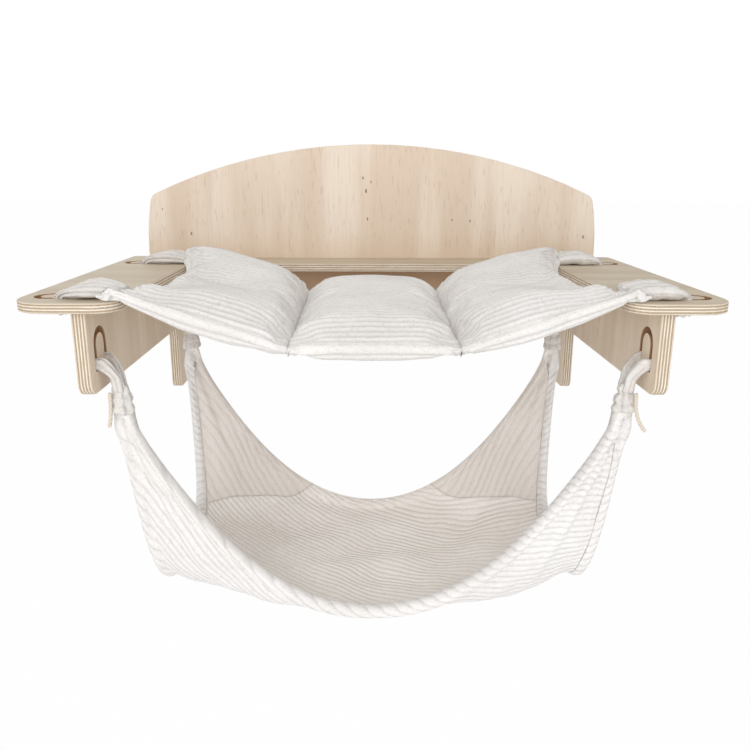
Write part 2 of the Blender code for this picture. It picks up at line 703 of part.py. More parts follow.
def hammock_point(u, v):
    """Middle of the sheet: u from -1 at the left to 1 at the right, v from -1 in front to 1 at the rear."""
    back = (v + 1) / 2
    wall = abs(v) ** HAMMOCK_WALL_POWER
    corner_x = HAMMOCK_FRONT_CORNER_X * (1 - back) + HAMMOCK_REAR_CORNER_X * back
    half = HAMMOCK_SIDE_X + (corner_x - HAMMOCK_SIDE_X) * abs(v) ** 5
    y = -HAMMOCK_FRONT_Y * (1 - back) - HAMMOCK_REAR_Y * back
    y -= math.copysign(HAMMOCK_RIM_BOW, v) * abs(v) ** 6 * (1 - u * u)
    low = HAMMOCK_FRONT_LOW * (1 - back) + HAMMOCK_REAR_LOW * back
    low += HAMMOCK_BELLY * (1 - v * v) * (1 - u * u)
    floor = -low + HAMMOCK_LIP * abs(v) ** 14 + HAMMOCK_SIDE_RISE * abs(u) ** 3 * (1 - 0.3 * wall)
    rise = HAMMOCK_RIM_PARABOLA * u**2 + (1 - HAMMOCK_RIM_PARABOLA) * u**4
    corner_z = -NECK_TOP - NECK_LENGTH - HAMMOCK_CORNER_GAP
    z = floor + (corner_z - floor) * rise * wall
    return Vector((u * half, y, z))


def hammock_fold(u, v):
    """Depth of the folds that fan out from each gathered corner and die away towards the middle."""
    from_side = (1 - abs(u)) * HAMMOCK_SIDE_X
    from_rim = (1 - abs(v)) * HAMMOCK_FRONT_LOW
    turn = math.atan2(from_side, from_rim)
    distance = math.hypot(from_side, from_rim)
    fade = math.exp(-distance / HAMMOCK_FOLD_REACH) * smoothstep(distance / HAMMOCK_HEM)
    return HAMMOCK_FOLD * math.sin(4 * turn * HAMMOCK_FOLDS) * fade


def hammock_thickness(i, j, columns, rows):
    """Sheet inside, rolled hem along the border, slimmer where the hems meet at a corner."""
    rim_u = min(i, columns - i)
    rim_v = min(j, rows - j)
    if rim_u == 0 and rim_v == 0:
        return HAMMOCK_HEM * 0.62
    if rim_u == 0 or rim_v == 0:
        return HAMMOCK_HEM * 0.86
    if rim_u == 1 or rim_v == 1:
        return HAMMOCK_HEM
    return HAMMOCK_SHEET


def spread(count, power):
    """Parameters from -1 to 1, closer together near both ends."""
    steps = [2 * k / count - 1 for k in range(count + 1)]
    return [math.copysign(1 - (1 - abs(t)) ** power, t) for t in steps]


def make_hammock(look):
    """A closed shell with rolled hems, gathered to four corners; it sways along Y from its origin."""
    columns, rows = HAMMOCK_COLUMNS, HAMMOCK_ROWS
    small = 1e-4
    bm = bmesh.new()
    upper, lower = [], []
    for i, u in enumerate(spread(columns, 1.35)):
        upper.append([])
        lower.append([])
        for j, v in enumerate(spread(rows, 1.6)):
            across = hammock_point(min(u + small, 1), v) - hammock_point(max(u - small, -1), v)
            along = hammock_point(u, min(v + small, 1)) - hammock_point(u, max(v - small, -1))
            normal = across.cross(along).normalized()
            at = hammock_point(u, v) + normal * hammock_fold(u, v)
            half = normal * hammock_thickness(i, j, columns, rows) / 2
            upper[i].append(bm.verts.new(at + half))
            lower[i].append(bm.verts.new(at - half))
    for i in range(columns):
        for j in range(rows):
            bm.faces.new((upper[i][j], upper[i + 1][j], upper[i + 1][j + 1], upper[i][j + 1]))
            bm.faces.new((lower[i][j], lower[i][j + 1], lower[i + 1][j + 1], lower[i + 1][j]))
    border = [(i, 0) for i in range(columns)] + [(columns, j) for j in range(rows)]
    border += [(i, rows) for i in range(columns, 0, -1)] + [(0, j) for j in range(rows, 0, -1)]
    for (i, j), (k, m) in zip(border, border[1:] + border[:1]):
        bm.faces.new((upper[i][j], lower[i][j], lower[k][m], upper[k][m]))
    hangs_from = (0, -(HAMMOCK_FRONT_Y + HAMMOCK_REAR_Y) / 2, -NECK_TOP - NECK_LENGTH)
    return add_object("hammock", bm, look, 80, hangs_from)


def make_tail(name, side, drift, length, look):
    """A short round cord end that hangs free in front of a neck and drifts outwards as it falls."""
    reach = NECK_RADIUS + TAIL_RADIUS + GAP
    front = math.sqrt(reach**2 - TAIL_BESIDE**2)
    top = Vector((side * TAIL_X, -SLOT_FRONT_Y - front, -TAIL_TOP))
    count = math.ceil(length / (5 * TAIL_RADIUS)) + 1
    curve = bpy.data.curves.new(name, "CURVE")
    curve.dimensions = "3D"
    curve.bevel_depth = TAIL_RADIUS
    curve.bevel_resolution = 2
    curve.use_fill_caps = True
    spline = curve.splines.new("POLY")
    spline.points.add(count - 1)
    for k in range(count):
        fallen = k / (count - 1)
        point = top + Vector((side * drift * fallen**TAIL_CURVE, 0, -length * fallen))
        spline.points[k].co = (*point, 1)
    made = bpy.data.objects.new(name, curve)
    bpy.context.collection.objects.link(made)
    made.data.materials.append(look)
    return made


def main():
    clear_scene()
    face = material("birch_face", (0.72, 0.60, 0.46), 0.55)
    plate = material("birch_plate", (0.78, 0.66, 0.52), 0.5)
    dowel = material("beech_dowel", (0.70, 0.50, 0.31), 0.6)
    steel = material("zinc_steel", (0.62, 0.62, 0.60), 0.35, 1.0)
    quilt = material("pad_fabric", (0.86, 0.85, 0.83), 0.9)
    sling = material("hammock_fabric", (0.84, 0.82, 0.79), 0.9)
    tape = material("loop_fabric", (0.88, 0.87, 0.85), 0.9)
    cord = material("tail_cord", (0.80, 0.76, 0.68), 0.8)

    make_back_plate(plate)
    make_shelf(face)
    make_fixings(dowel, steel)
    make_pad(quilt)
    make_hammock(sling)
    ends = (
        (SLOT_FRONT_Y, "front", HAMMOCK_FRONT_CORNER_X),
        (SLOT_REAR_Y, "rear", HAMMOCK_REAR_CORNER_X),
    )
    for side, side_name in ((LEFT, "left"), (RIGHT, "right")):
        make_bracket(side, side_name, face)
        for centre, end_name, corner_x in ends:
            make_pad_loop(f"pad_loop_{end_name}_{side_name}", side, centre, tape)
            name = f"hammock_loop_{end_name}_{side_name}"
            make_hammock_loop(name, side, corner_x, centre, tape)
    make_tail("tail_cord_left", LEFT, TAIL_LEFT_DRIFT, TAIL_LEFT_LENGTH, cord)
    make_tail("tail_cord_right", RIGHT, TAIL_RIGHT_DRIFT, TAIL_RIGHT_LENGTH, cord)


main()
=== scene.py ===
# %% [markdown]
# # A wall shelf for a cat
#
# The real object is a birch plywood frame on a wall, a quilted pad slung between its two arms,
# and a cloth hammock that hangs below on four loops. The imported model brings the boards, dowels
# and screws at their exact size. This script gives them their wood and steel, and builds the
# cloth, which a solid model only holds the place of.

# %% Load the frame
import math

import bmesh
import bpy
import numpy as np
from mathutils import Matrix, Vector, noise


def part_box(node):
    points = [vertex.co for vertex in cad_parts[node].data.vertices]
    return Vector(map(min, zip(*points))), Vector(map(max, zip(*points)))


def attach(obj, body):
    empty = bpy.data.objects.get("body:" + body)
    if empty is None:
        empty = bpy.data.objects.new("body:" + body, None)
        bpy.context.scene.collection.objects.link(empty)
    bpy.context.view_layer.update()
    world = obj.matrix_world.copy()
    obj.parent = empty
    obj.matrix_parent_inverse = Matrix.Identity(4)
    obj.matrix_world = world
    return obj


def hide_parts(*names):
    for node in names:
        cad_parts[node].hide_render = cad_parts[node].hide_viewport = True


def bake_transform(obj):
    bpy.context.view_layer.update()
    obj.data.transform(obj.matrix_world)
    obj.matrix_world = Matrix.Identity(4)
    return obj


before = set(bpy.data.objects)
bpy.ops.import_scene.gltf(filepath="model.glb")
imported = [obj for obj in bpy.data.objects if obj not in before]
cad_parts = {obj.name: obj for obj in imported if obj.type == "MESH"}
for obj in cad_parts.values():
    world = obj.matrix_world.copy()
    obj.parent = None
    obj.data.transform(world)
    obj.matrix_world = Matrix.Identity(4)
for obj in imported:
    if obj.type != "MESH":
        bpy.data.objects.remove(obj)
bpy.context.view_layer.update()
scene = bpy.context.scene
MM = 0.001


def placed(name, data):
    made = bpy.data.objects.new(name, data)
    scene.collection.objects.link(made)
    return made


# %% [markdown]
# ## The camera
#
# The boards' corners in the photograph fix where it was taken from: about a metre in front of the
# wall, a hand above the shelf, looking 15 degrees down. A focal length in pixels turns into a lens
# once the sensor's width is known, because both measure the same picture.

# %% Camera
PICTURE_PX = 750
FOCAL_PX = 751.56
SENSOR_MM = 36
ROLL = 0.004
eye = Vector((-0.00608, -0.974, 0.10514))
gaze = Vector((0.01029, 0.96533, -0.26085)).normalized()
right = gaze.cross(Vector((0, 0, 1))).normalized()
up = right.cross(gaze)
camera_right = right * math.cos(ROLL) + up * math.sin(ROLL)
camera_up = up * math.cos(ROLL) - right * math.sin(ROLL)
camera = placed("photo_camera", bpy.data.cameras.new("photo_camera"))
camera.data.sensor_width = SENSOR_MM
camera.data.lens = SENSOR_MM * FOCAL_PX / PICTURE_PX
turn = Matrix((camera_right, camera_up, -gaze)).transposed().to_4x4()
camera.matrix_world = Matrix.Translation(eye) @ turn
scene.camera = camera
print("lens", round(camera.data.lens, 2), "mm")

# %% [markdown]
# ## A surface from rings
#
# Straps, necks, cords, the pad and the hammock are all rows of rings. One helper joins a grid of
# points into faces. It closes the grid around when the rows are rings, caps its two ends when
# asked, and keeps any marks per point, such as where a rib of the cloth runs, for the materials.
# The others turn a mesh's faces outwards and measure lengths along the rows.

# %% Mesh helpers
def woven(name, grid, material, around=True, caps=False, marks=None):
    rows, columns = grid.shape[:2]
    index = np.arange(rows * columns).reshape(rows, columns)
    if around:
        index = np.concatenate([index, index[:, :1]], axis=1)
    a, b = index[:-1, :-1].ravel(), index[1:, :-1].ravel()
    c, d = index[1:, 1:].ravel(), index[:-1, 1:].ravel()
    faces = np.stack([a, b, c, d], axis=1).tolist()
    if caps:
        faces.append(index[0, :columns].tolist())
        faces.append(index[-1, :columns][::-1].tolist())
    mesh = bpy.data.meshes.new(name)
    mesh.from_pydata(grid.reshape(-1, 3).tolist(), [], faces)
    for mark, values in (marks or {}).items():
        layer = mesh.attributes.new(mark, "FLOAT", "POINT")
        layer.data.foreach_set("value", np.ascontiguousarray(values, np.float32).ravel())
    mesh.shade_smooth()
    mesh.materials.append(material)
    return placed(name, mesh)


def settle(bm, mesh):
    bmesh.ops.recalc_face_normals(bm, faces=bm.faces)
    bm.to_mesh(mesh)
    bm.free()
    mesh.shade_smooth()


def close_up(made, reach=0.00002):
    bm = bmesh.new()
    bm.from_mesh(made.data)
    bmesh.ops.remove_doubles(bm, verts=bm.verts, dist=reach)
    settle(bm, made.data)
    return made


def unit(vectors):
    return vectors / np.maximum(np.linalg.norm(vectors, axis=-1, keepdims=True), 1e-12)


def outward(grid, around=True):
    along = np.gradient(grid, axis=0)
    if around:
        across = (np.roll(grid, -1, axis=1) - np.roll(grid, 1, axis=1)) / 2
    else:
        across = np.gradient(grid, axis=1)
    return unit(np.cross(across, along))


def run_along(points):
    steps = np.linalg.norm(np.diff(points, axis=0), axis=-1)
    return np.concatenate([np.zeros_like(steps[:1]), np.cumsum(steps, axis=0)])


def read_at(where, run, points):
    return np.stack([np.interp(where, run, points[:, k]) for k in range(3)], axis=-1)


def smoothstep(value):
    value = np.clip(value, 0.0, 1.0)
    return value * value * (3 - 2 * value)


# %% [markdown]
# ## Shader maths as Python
#
# A material is a graph of nodes, and a formula such as 1 - mask * 0.4 takes three of them. This
# class wraps one socket, so that the formula can be written as it stands and adds its own nodes.
# Colours and vectors never go through a Math node, which would turn them grey: they have their
# own mix, and every other node comes from one method. The Mix node has a socket for each kind of
# data, and its colours are inputs 6 and 7 and output 2.

# %% Socket wrapper
class Thread:
    def __init__(self, tree, socket=None):
        self.tree = tree
        self.socket = socket

    def node(self, kind, values=None, out=0, **settings):
        made = self.tree.nodes.new(kind)
        for name, value in settings.items():
            setattr(made, name, value)
        for name, value in (values or {}).items():
            if isinstance(value, Thread):
                self.tree.links.new(value.socket, made.inputs[name])
            else:
                made.inputs[name].default_value = value
        return Thread(self.tree, made.outputs[out])

    def maths(self, operation, *more):
        terms = dict(enumerate((self, *more)))
        return self.node("ShaderNodeMath", terms, operation=operation)

    def __add__(self, other):
        return self.maths("ADD", other)

    def __sub__(self, other):
        return self.maths("SUBTRACT", other)

    def __rsub__(self, other):
        return self.node("ShaderNodeMath", {0: other, 1: self}, operation="SUBTRACT")

    def __mul__(self, other):
        return self.maths("MULTIPLY", other)

    def __truediv__(self, other):
        return self.maths("DIVIDE", other)

    def __abs__(self):
        return self.maths("ABSOLUTE")

    __radd__ = __add__
    __rmul__ = __mul__

    def ease(self, low, high):
        values = {"Value": self, "From Min": low, "From Max": high}
        return self.node("ShaderNodeMapRange", values, interpolation_type="SMOOTHSTEP")

    def mix(self, first, second):
        colours = {0: self, 6: first, 7: second}
        return self.node("ShaderNodeMix", colours, out=2, data_type="RGBA")

    def mark(self, name):
        return self.node("ShaderNodeAttribute", out="Fac", attribute_name=name)

    def place(self, scale=(1, 1, 1)):
        spot = self.node("ShaderNodeTexCoord", out="Object")
        return self.node("ShaderNodeVectorMath", {0: spot, 1: scale}, operation="MULTIPLY")

    def part(self, axis):
        return self.node("ShaderNodeSeparateXYZ", {0: self}, out=axis)

    def facing(self, axis):
        return self.node("ShaderNodeTexCoord", out="Normal").part(axis)

    def cloud(self, scale, detail=2.0, rough=0.5):
        spot = self.place(scale if isinstance(scale, tuple) else (scale, scale, scale))
        values = {"Vector": spot, "Scale": 1.0, "Detail": detail, "Roughness": rough}
        return self.node("ShaderNodeTexNoise", values)

    def bump(self, height, distance, strength=1.0):
        values = {"Height": height, "Distance": distance, "Strength": strength}
        return self.node("ShaderNodeBump", values)


def finish(name, **constants):
    material = bpy.data.materials.new(name)
    material.use_nodes = True
    shader = material.node_tree.nodes["Principled BSDF"]
    for socket, value in constants.items():
        shader.inputs[socket.replace("_", " ")].default_value = value
    return material, Thread(material.node_tree), shader


def drive(shader, socket, value):
    value.tree.links.new(value.socket, shader.inputs[socket])


def paint(*rgb):
    parts = [value / 255 for value in rgb]
    linear = [v / 12.92 if v <= 0.04045 else ((v + 0.055) / 1.055) ** 2.4 for v in parts]
    return (*linear, 1)


# %% [markdown]
# ## Birch plywood
#
# Plywood shows two things. Its faces are rotary-cut birch: pale, with soft broad figure, fine
# fibres along the grain and a few dark pin knots. Its edges are the layers: pale where the fibres
# run along the edge and darker where they end in it, with a thin glue line between. One function
# makes both from the board's own axes, so a board of any thickness gets whole layers. The slots'
# walls were cut by a laser or a hot cutter, and are browner.

# %% Plywood finish
def pores_of(thread):
    return thread.cloud(1500.0, 1.0)


def plywood(name, thick_axis, grain_axis, low, high, layers, face, scorched=None):
    material, thread, shader = finish(name, Roughness=0.55, IOR=1.45)
    axis = {"X": 0, "Y": 1, "Z": 2}
    spot = thread.place()
    parts = [spot.part(way) for way in "XYZ"]
    thick_part = thread.facing(thick_axis)
    edge = 1 - abs(thick_part).ease(0.45, 0.85)

    def stretched(way, across, along):
        scale = [across, across, across]
        scale[axis[way]] = along
        return tuple(scale)

    figure = thread.cloud(stretched(grain_axis, 28.8, 3.2), 2.0, 0.4)
    fibre = thread.cloud(stretched(grain_axis, 620.0, 22.0), 2.0)
    fleck = thread.cloud(stretched(grain_axis, 420.0, 75.0), 0.0).ease(0.70, 0.78)
    veneer = figure.ease(0.36, 0.66).mix(face["pale"], face["deep"])
    veneer = (fibre.ease(0.42, 0.75) * 0.30).mix(veneer, face["fibre"])
    veneer = (fleck * 0.16).mix(veneer, face["fleck"])
    if "foot" in face:
        front = 1 - thick_part.ease(-0.5, 0.0)
        # painted shade: the back plate's face darkens towards the shelf, for the pad's shadow
        # (face key foot)
        pad_shade = 1 - parts[2].ease(-0.004, 0.040)
        veneer = (pad_shade * 0.40).mix(veneer, face["foot"])
        # painted shadow: the front face below the ledge turns dark brown, for the shade under the
        # ledge (face key under)
        ledge_shadow = 1 - parts[2].ease(-0.014, -0.006)
        veneer = (ledge_shadow * front * 0.85).mix(veneer, face["under"])
        for knot_x, knot_z, size in face["knots"]:
            off_x = (parts[0] - knot_x) / size
            off_z = (parts[2] - knot_z) / (size * 2.2)
            far = off_x * off_x + off_z * off_z + (pores_of(thread) - 0.5) * 0.8
            veneer = ((1 - far.ease(0.35, 1.3)) * front * 0.75).mix(veneer, face["knot"])

    layer = (parts[axis[thick_axis]] - low) * (layers / (high - low))
    step = layer.maths("FLOOR")
    odd = step.maths("MODULO", 2.0)
    inside = layer - step
    glue = 1 - inside.maths("PINGPONG", 0.5).ease(0.03, 0.14)
    streak = thread.cloud(stretched(thick_axis, 60.0, 900.0), 2.0)
    pores = pores_of(thread)
    long_fibre = streak.ease(0.35, 0.7).mix(paint(238, 230, 218), paint(221, 208, 189))
    end_fibre = pores.ease(0.35, 0.7).mix(paint(192, 172, 145), paint(156, 132, 104))
    stack = odd.mix(long_fibre, end_fibre)
    stack = (glue * 0.36).mix(stack, paint(120, 88, 58))
    colour = edge.mix(veneer, stack)
    if scorched is not None:
        colour = scorched(thread, parts).mix(colour, paint(150, 104, 62))
    drive(shader, "Base Color", colour)
    grooves = fibre * 0.5 + fleck * -0.5 + edge * (odd * -0.6 + glue * -0.5 + pores * 0.5)
    drive(shader, "Normal", thread.bump(grooves, 0.00018, 0.55))
    drive(shader, "Roughness", (edge * 0.2 + fibre * 0.12) + 0.5)
    return material


def wood_tones(*tones):
    return dict(zip(("pale", "deep", "fibre", "fleck"), (paint(*tone) for tone in tones)))


warm_face = {
    **wood_tones((236, 222, 206), (222, 203, 183), (211, 190, 166), (158, 120, 88)),
    # foot: painted shade low on the back plate, for the pad's shadow
    "foot": paint(216, 190, 161),
    # under: painted shadow on the front face below the ledge
    "under": paint(158, 122, 88),
    "knot": paint(92, 64, 42),
    "knots": (
        (-0.2262, 0.0299, 0.0011), (-0.0116, 0.0979, 0.0010), (-0.0018, 0.0931, 0.0008),
        (-0.0079, 0.0823, 0.0013), (-0.0060, 0.0484, 0.0010), (0.0995, 0.0475, 0.0008),
        (0.1221, 0.0464, 0.0009), (0.2652, 0.0271, 0.0011), (-0.2603, 0.0597, 0.0007),
    ),
}
shelf_face = wood_tones((200, 186, 164), (189, 173, 150), (178, 159, 134), (160, 132, 104))
bracket_face = wood_tones((230, 214, 194), (216, 197, 173), (203, 182, 156), (160, 128, 98))

# %% [markdown]
# The scorched walls need no mask drawn by hand. They are the edge faces inside the board's
# outline, and a box of coordinates around each slot picks them out.

# %% Boards
FRONT_Y, REAR_Y = -0.323, -0.070
SLOT_REACH, BLUR = 0.0155, 0.0004
ARM_SLOT, BRACKET_SLOT = (0.2535, 0.2955), (0.0255, 0.0655)


def slot_walls(span, axis_a, thick_axis):
    low, high = span

    def mask(thread, parts):
        size = abs(parts[axis_a])
        across = size.ease(low - BLUR, low) * (1 - size.ease(high, high + BLUR))
        front, rear = (
            1 - abs(parts[1] - y).ease(SLOT_REACH, SLOT_REACH + BLUR)
            for y in (FRONT_Y, REAR_Y)
        )
        wall = 1 - abs(thread.facing(thick_axis)).ease(0.35, 0.75)
        return across * (front + rear) * wall * 0.85
    return mask


shelf_low, shelf_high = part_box("shelf_plate")
plate_low, plate_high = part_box("back_plate")
bracket_low, bracket_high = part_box("bracket_right")
ply = {
    "back_plate": plywood("birch_back_plate", "Y", "Z", plate_low.y, plate_high.y, 13, warm_face),
    "shelf_plate": plywood(
        "birch_shelf", "Z", "X", shelf_low.z, shelf_high.z, 7, shelf_face,
        slot_walls(ARM_SLOT, 0, "Z"),
    ),
}
inner_x, outer_x = bracket_low.x, bracket_high.x
for side_name, low, high in (("right", inner_x, outer_x), ("left", -outer_x, -inner_x)):
    ply["bracket_" + side_name] = plywood(
        "birch_bracket_" + side_name, "X", "Z", low, high, 9, bracket_face,
        slot_walls(BRACKET_SLOT, 2, "X"),
    )


def dress(node, material):
    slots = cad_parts[node].data.materials
    slots.clear()
    slots.append(material)


for node, material in ply.items():
    dress(node, material)
print("boards", sorted(ply))

# %% [markdown]
# ## Dowels and screws
#
# Both are hidden in the joints, and the screws' heads show at the back. Beech dowels are turned
# and slightly speckled. The screws are zinc plated steel, brushed by the tumbling barrel.

# %% Beech and steel
beech, thread, shader = finish("beech_dowel", Roughness=0.6)
ray_fleck = thread.cloud((900.0, 900.0, 160.0), 2.0)
tone = thread.cloud(60.0, 1.0)
wood = tone.mix(paint(214, 178, 140), paint(196, 156, 118))
drive(shader, "Base Color", (ray_fleck.ease(0.55, 0.68) * 0.5).mix(wood, paint(150, 104, 70)))
drive(shader, "Normal", thread.bump(ray_fleck, 0.0001, 0.5))

steel, thread, shader = finish("zinc_screw", Metallic=1.0)
brushed = thread.cloud((2600.0, 300.0, 2600.0), 2.0)
spangle = thread.cloud(420.0, 1.0)
drive(shader, "Base Color", spangle.mix(paint(186, 190, 196), paint(214, 216, 220)))
drive(shader, "Roughness", brushed * 0.25 + 0.22)
drive(shader, "Normal", thread.bump(brushed, 0.00004, 0.4))
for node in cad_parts:
    if "dowel" in node or "screw" in node:
        dress(node, beech if "dowel" in node else steel)

# %% [markdown]
# ## Ribbed cloth
#
# The pad and the hammock are sewn from one cloth: off-white, soft and fluffy, with raised ribs
# about 7.5 mm apart. A soft grey line of painted shade lies in each valley; the hammock's rear
# wall, its seams and its crease get painted shade as well, and each piece and layer has its own
# lighter or darker copy of the colours, painted light and shade for the light it gets. On the pad
# and the straps each mesh point carries its height on the rib, called rise. The hammock's points
# are too far apart for that, so they carry a running count of ribs and the material turns it into
# the wave. Its other marks say where the hem, the rear wall and the gathered corners are.

# %% Cloth finish
def ribbed_cloth(name, colours, rib_height, valley_shade, sheet=False):
    material, thread, shader = finish(
        name, Roughness=0.95, Sheen_Weight=0.25, Sheen_Roughness=0.6, Specular_IOR_Level=0.2,
    )
    tufts = thread.cloud(760.0, 2.0, 0.65)
    loops = thread.cloud(330.0, 2.0)
    broad = thread.cloud(14.0, 2.0)
    broken = thread.cloud(120.0, 1.0).ease(0.30, 0.62)
    specks = thread.cloud(540.0, 0.0).ease(0.71, 0.76)
    if sheet:
        border = thread.mark("hem_rib")
        inside = thread.mark("edge").ease(HEM - 0.0006, HEM)
        rib = border + inside * (thread.mark("rib") - border)
        below = thread.mark("crease")
        wall = 1 - below.ease(-0.0003, 0.0003)
        rib = rib + wall * (thread.mark("wall_rib") - rib)
        calm = thread.mark("calm")
        wander = thread.cloud(55.0, 2.0)
        rise = (rib + (wander - 0.5) * 0.40).maths("PINGPONG", 0.5) * 2.0
        # the lining mark switches to the lining's brighter copy of the colours: painted light
        lining = thread.mark("lining")
        colours = [lining.mix(of_shell, of_lining) for of_shell, of_lining in colours]
    else:
        rise = thread.mark("rise")
    # light and shade are two tones of the cloth mixed by noise; the third colour is painted shade
    # for valleys, wall, seams and crease, and also the tone of the specks and fluff
    light, shade, painted_shade_and_specks = colours
    furrow = 1 - rise.ease(0.0, 0.34)
    swell = (rise * (math.pi / 2)).maths("SINE")
    if sheet:
        furrow = furrow * calm
        swell = swell * calm
    body = broad.ease(0.35, 0.65).mix(light, shade)
    body = ((1 - loops.ease(0.3, 0.55)) * 0.14).mix(body, painted_shade_and_specks)
    # painted shade: a grey line in each rib valley
    body = (furrow * (broken * 0.6 + 0.4) * valley_shade).mix(body, painted_shade_and_specks)
    body = (specks * 0.30).mix(body, painted_shade_and_specks)
    if sheet:
        # painted shade over the hammock's rear wall, above the crease
        body = (wall * 0.40).mix(body, painted_shade_and_specks)
    height = swell + (loops - 0.5) * 0.45 + (tufts - 0.5) * 0.55
    if sheet:
        off = thread.mark("edge") - HEM
        # groove marks the hem's seam, dented in the bump and darkened below as painted shade
        groove = (1 - abs(off).ease(0.0, 0.0014)) * thread.mark("seam")
        # fold marks the crease line, darkened below as painted shade
        fold = (1 - abs(below).ease(0.0, 0.004)) * calm
        body = (groove * 0.30 + fold * 0.18).mix(body, painted_shade_and_specks)
        height = height - groove * 0.8
    drive(shader, "Base Color", body)
    drive(shader, "Normal", thread.bump(height, rib_height, 1.0))
    return material


HEM = 0.016
# painted shade: the pad and the straps get darker copies of the one cloth's colours, for the less
# light they get
pad_colours = (paint(236, 234, 232), paint(229, 226, 223), paint(178, 169, 160))
pad_cloth = ribbed_cloth("pad_cloth", pad_colours, 0.0008, 0.36)
strap_colours = (paint(232, 229, 226), paint(222, 218, 214), paint(168, 159, 150))
strap_cloth = ribbed_cloth("strap_cloth", strap_colours, 0.0008, 0.42)
# painted light: the lining's copy, second in each pair, is brighter than the shell's, for the
# hammock's shaded inside
sheet_colours = (
    (paint(243, 241, 240), paint(254, 250, 246)),
    (paint(237, 234, 232), paint(249, 244, 239)),
    (paint(192, 185, 179), paint(214, 204, 196)),
)
hammock_cloth = ribbed_cloth("hammock_cloth", sheet_colours, 0.0012, 0.38, sheet=True)

cord_yarn, thread, shader = finish("cotton_cord", Roughness=0.9, Sheen_Weight=0.2)
twist = thread.mark("twist")
strand = twist.maths("PINGPONG", 0.5) * 2.0
lint = thread.cloud(1800.0, 2.0)
# painted shade: the grooves between the twisted strands get the darker tan
cotton = (1 - strand.ease(0.0, 0.5)).mix(paint(224, 214, 200), paint(200, 186, 166))
drive(shader, "Base Color", (lint.ease(0.35, 0.7) * 0.25).mix(cotton, paint(206, 194, 176)))
drive(shader, "Normal", thread.bump(strand + lint * 0.3, 0.0004, 0.9))

sewing_thread, thread, shader = finish("sewing_thread", Roughness=0.8)
ply_twist = thread.cloud(1500.0, 2.0)
drive(shader, "Base Color", ply_twist.mix(paint(232, 226, 220), paint(196, 186, 176)))
drive(shader, "Normal", thread.bump(ply_twist, 0.0001, 0.6))

# %% [markdown]
# ## The seat pad
#
# The pad is one quilted bag in three stuffed panels. It hangs in a sag between the arms and its
# ends lie on them. Its outline, sag and panel heights repeat the solid's formulas. Each station
# from left to right is a closed ring of points, spaced evenly along the cloth, so that the ribs,
# which run from left to right, keep their pitch over the top, the front and the bottom.

# %% Pad rings
PAD_HALF, SEAM_X, ARM_INNER = 0.224, 0.0735, 0.215
PAD_FRONT, PAD_REAR, REAR_CORNER = 0.3595, 0.0845, 0.067
PAD_SAG, REAR_LIFT = 0.052, 0.007
END_REACH, END_DRAWN, END_DROP = 0.090, 0.030, 0.011
CORNER_REACH, SEAM_PINCH, PINCH_WIDTH = 0.020, 0.0045, 0.007
PAD_RIBS, PER_RIB = 80, 6
OFF_ARM = 0.0006


def pad_height(x):
    if abs(x) < SEAM_X:
        across, full, rim = abs(x) / SEAM_X, 0.035, 0.006
    else:
        across = (abs(x) - SEAM_X) / (PAD_HALF - SEAM_X) * 2 - 1
        full, rim = 0.038, 0.006 if across < 0 else 0.013
    return rim + (full - rim) * max(0.0, 1 - abs(across) ** 2.6) ** 0.5


def pad_ring(x, count):
    angle = np.linspace(math.pi, -math.pi, 1441)
    c, s = np.cos(angle), np.sin(angle)
    v = np.sign(c) * np.abs(c) ** 0.36
    w = np.sign(s) * np.abs(s) ** 0.5
    size = abs(x)
    near_end = smoothstep((size - PAD_HALF + END_REACH) / END_REACH)
    corner = smoothstep((size - PAD_HALF + CORNER_REACH) / CORNER_REACH)
    pinch = SEAM_PINCH * math.exp(-(((size - SEAM_X) / PINCH_WIDTH) ** 2))
    y = -(PAD_FRONT + PAD_REAR) / 2 + v * ((PAD_FRONT - PAD_REAR) / 2 - pinch)
    y = y + np.where(v > 0, corner * (PAD_REAR - REAR_CORNER) * v**4, 0)
    drawn = x - math.copysign(1, x) * END_DRAWN * near_end * (1 - np.abs(v) ** 3)
    low = min(-PAD_SAG + (PAD_SAG + 0.0003) * (size / ARM_INNER) ** 2.25, 0.0003)
    shoulder = 0.60 * smoothstep((-v - 0.70) / 0.30)
    crown = np.where(w > 0, 1 - 0.16 * np.abs(v) ** 2.5 - shoulder, 1.0)
    z = low + pad_height(x) * (0.5 + 0.5 * w * crown)
    ear = smoothstep((size - 0.13) / 0.07) * smoothstep((-v - 0.1) / 0.5)
    z = z - 0.30 * pad_height(x) * ear * np.maximum(w, 0)
    z = z + REAR_LIFT * max(0.0, 1 - (x / ARM_INNER) ** 4) * smoothstep((v + 1) / 2)
    dip = 0.004 + 0.016 * smoothstep((size - 0.085) / 0.080)
    dip = dip * (1 - 0.6 * smoothstep((size - 0.195) / 0.029)) * smoothstep((size - SEAM_X) / 0.03)
    z = z - np.where(w > 0, dip * w, 0) * np.exp(-np.abs(v) ** 1.7 / 0.33)
    z = z - END_DROP * near_end * (1 - np.abs(v) ** 3)
    ring = np.stack([drawn, y, z], axis=1)
    run = run_along(ring)
    return read_at(np.arange(count) / count * run[-1], run, ring)


def on_the_arms(points, least):
    size, y = np.abs(points[..., 0]), points[..., 1]
    on_arm = size > ARM_INNER - 0.0015
    at_ledge = (size > ARM_INNER - 0.0115) & (y > -0.0925)
    points[..., 2] = np.where(on_arm | at_ledge, np.maximum(points[..., 2], least), points[..., 2])
    return points


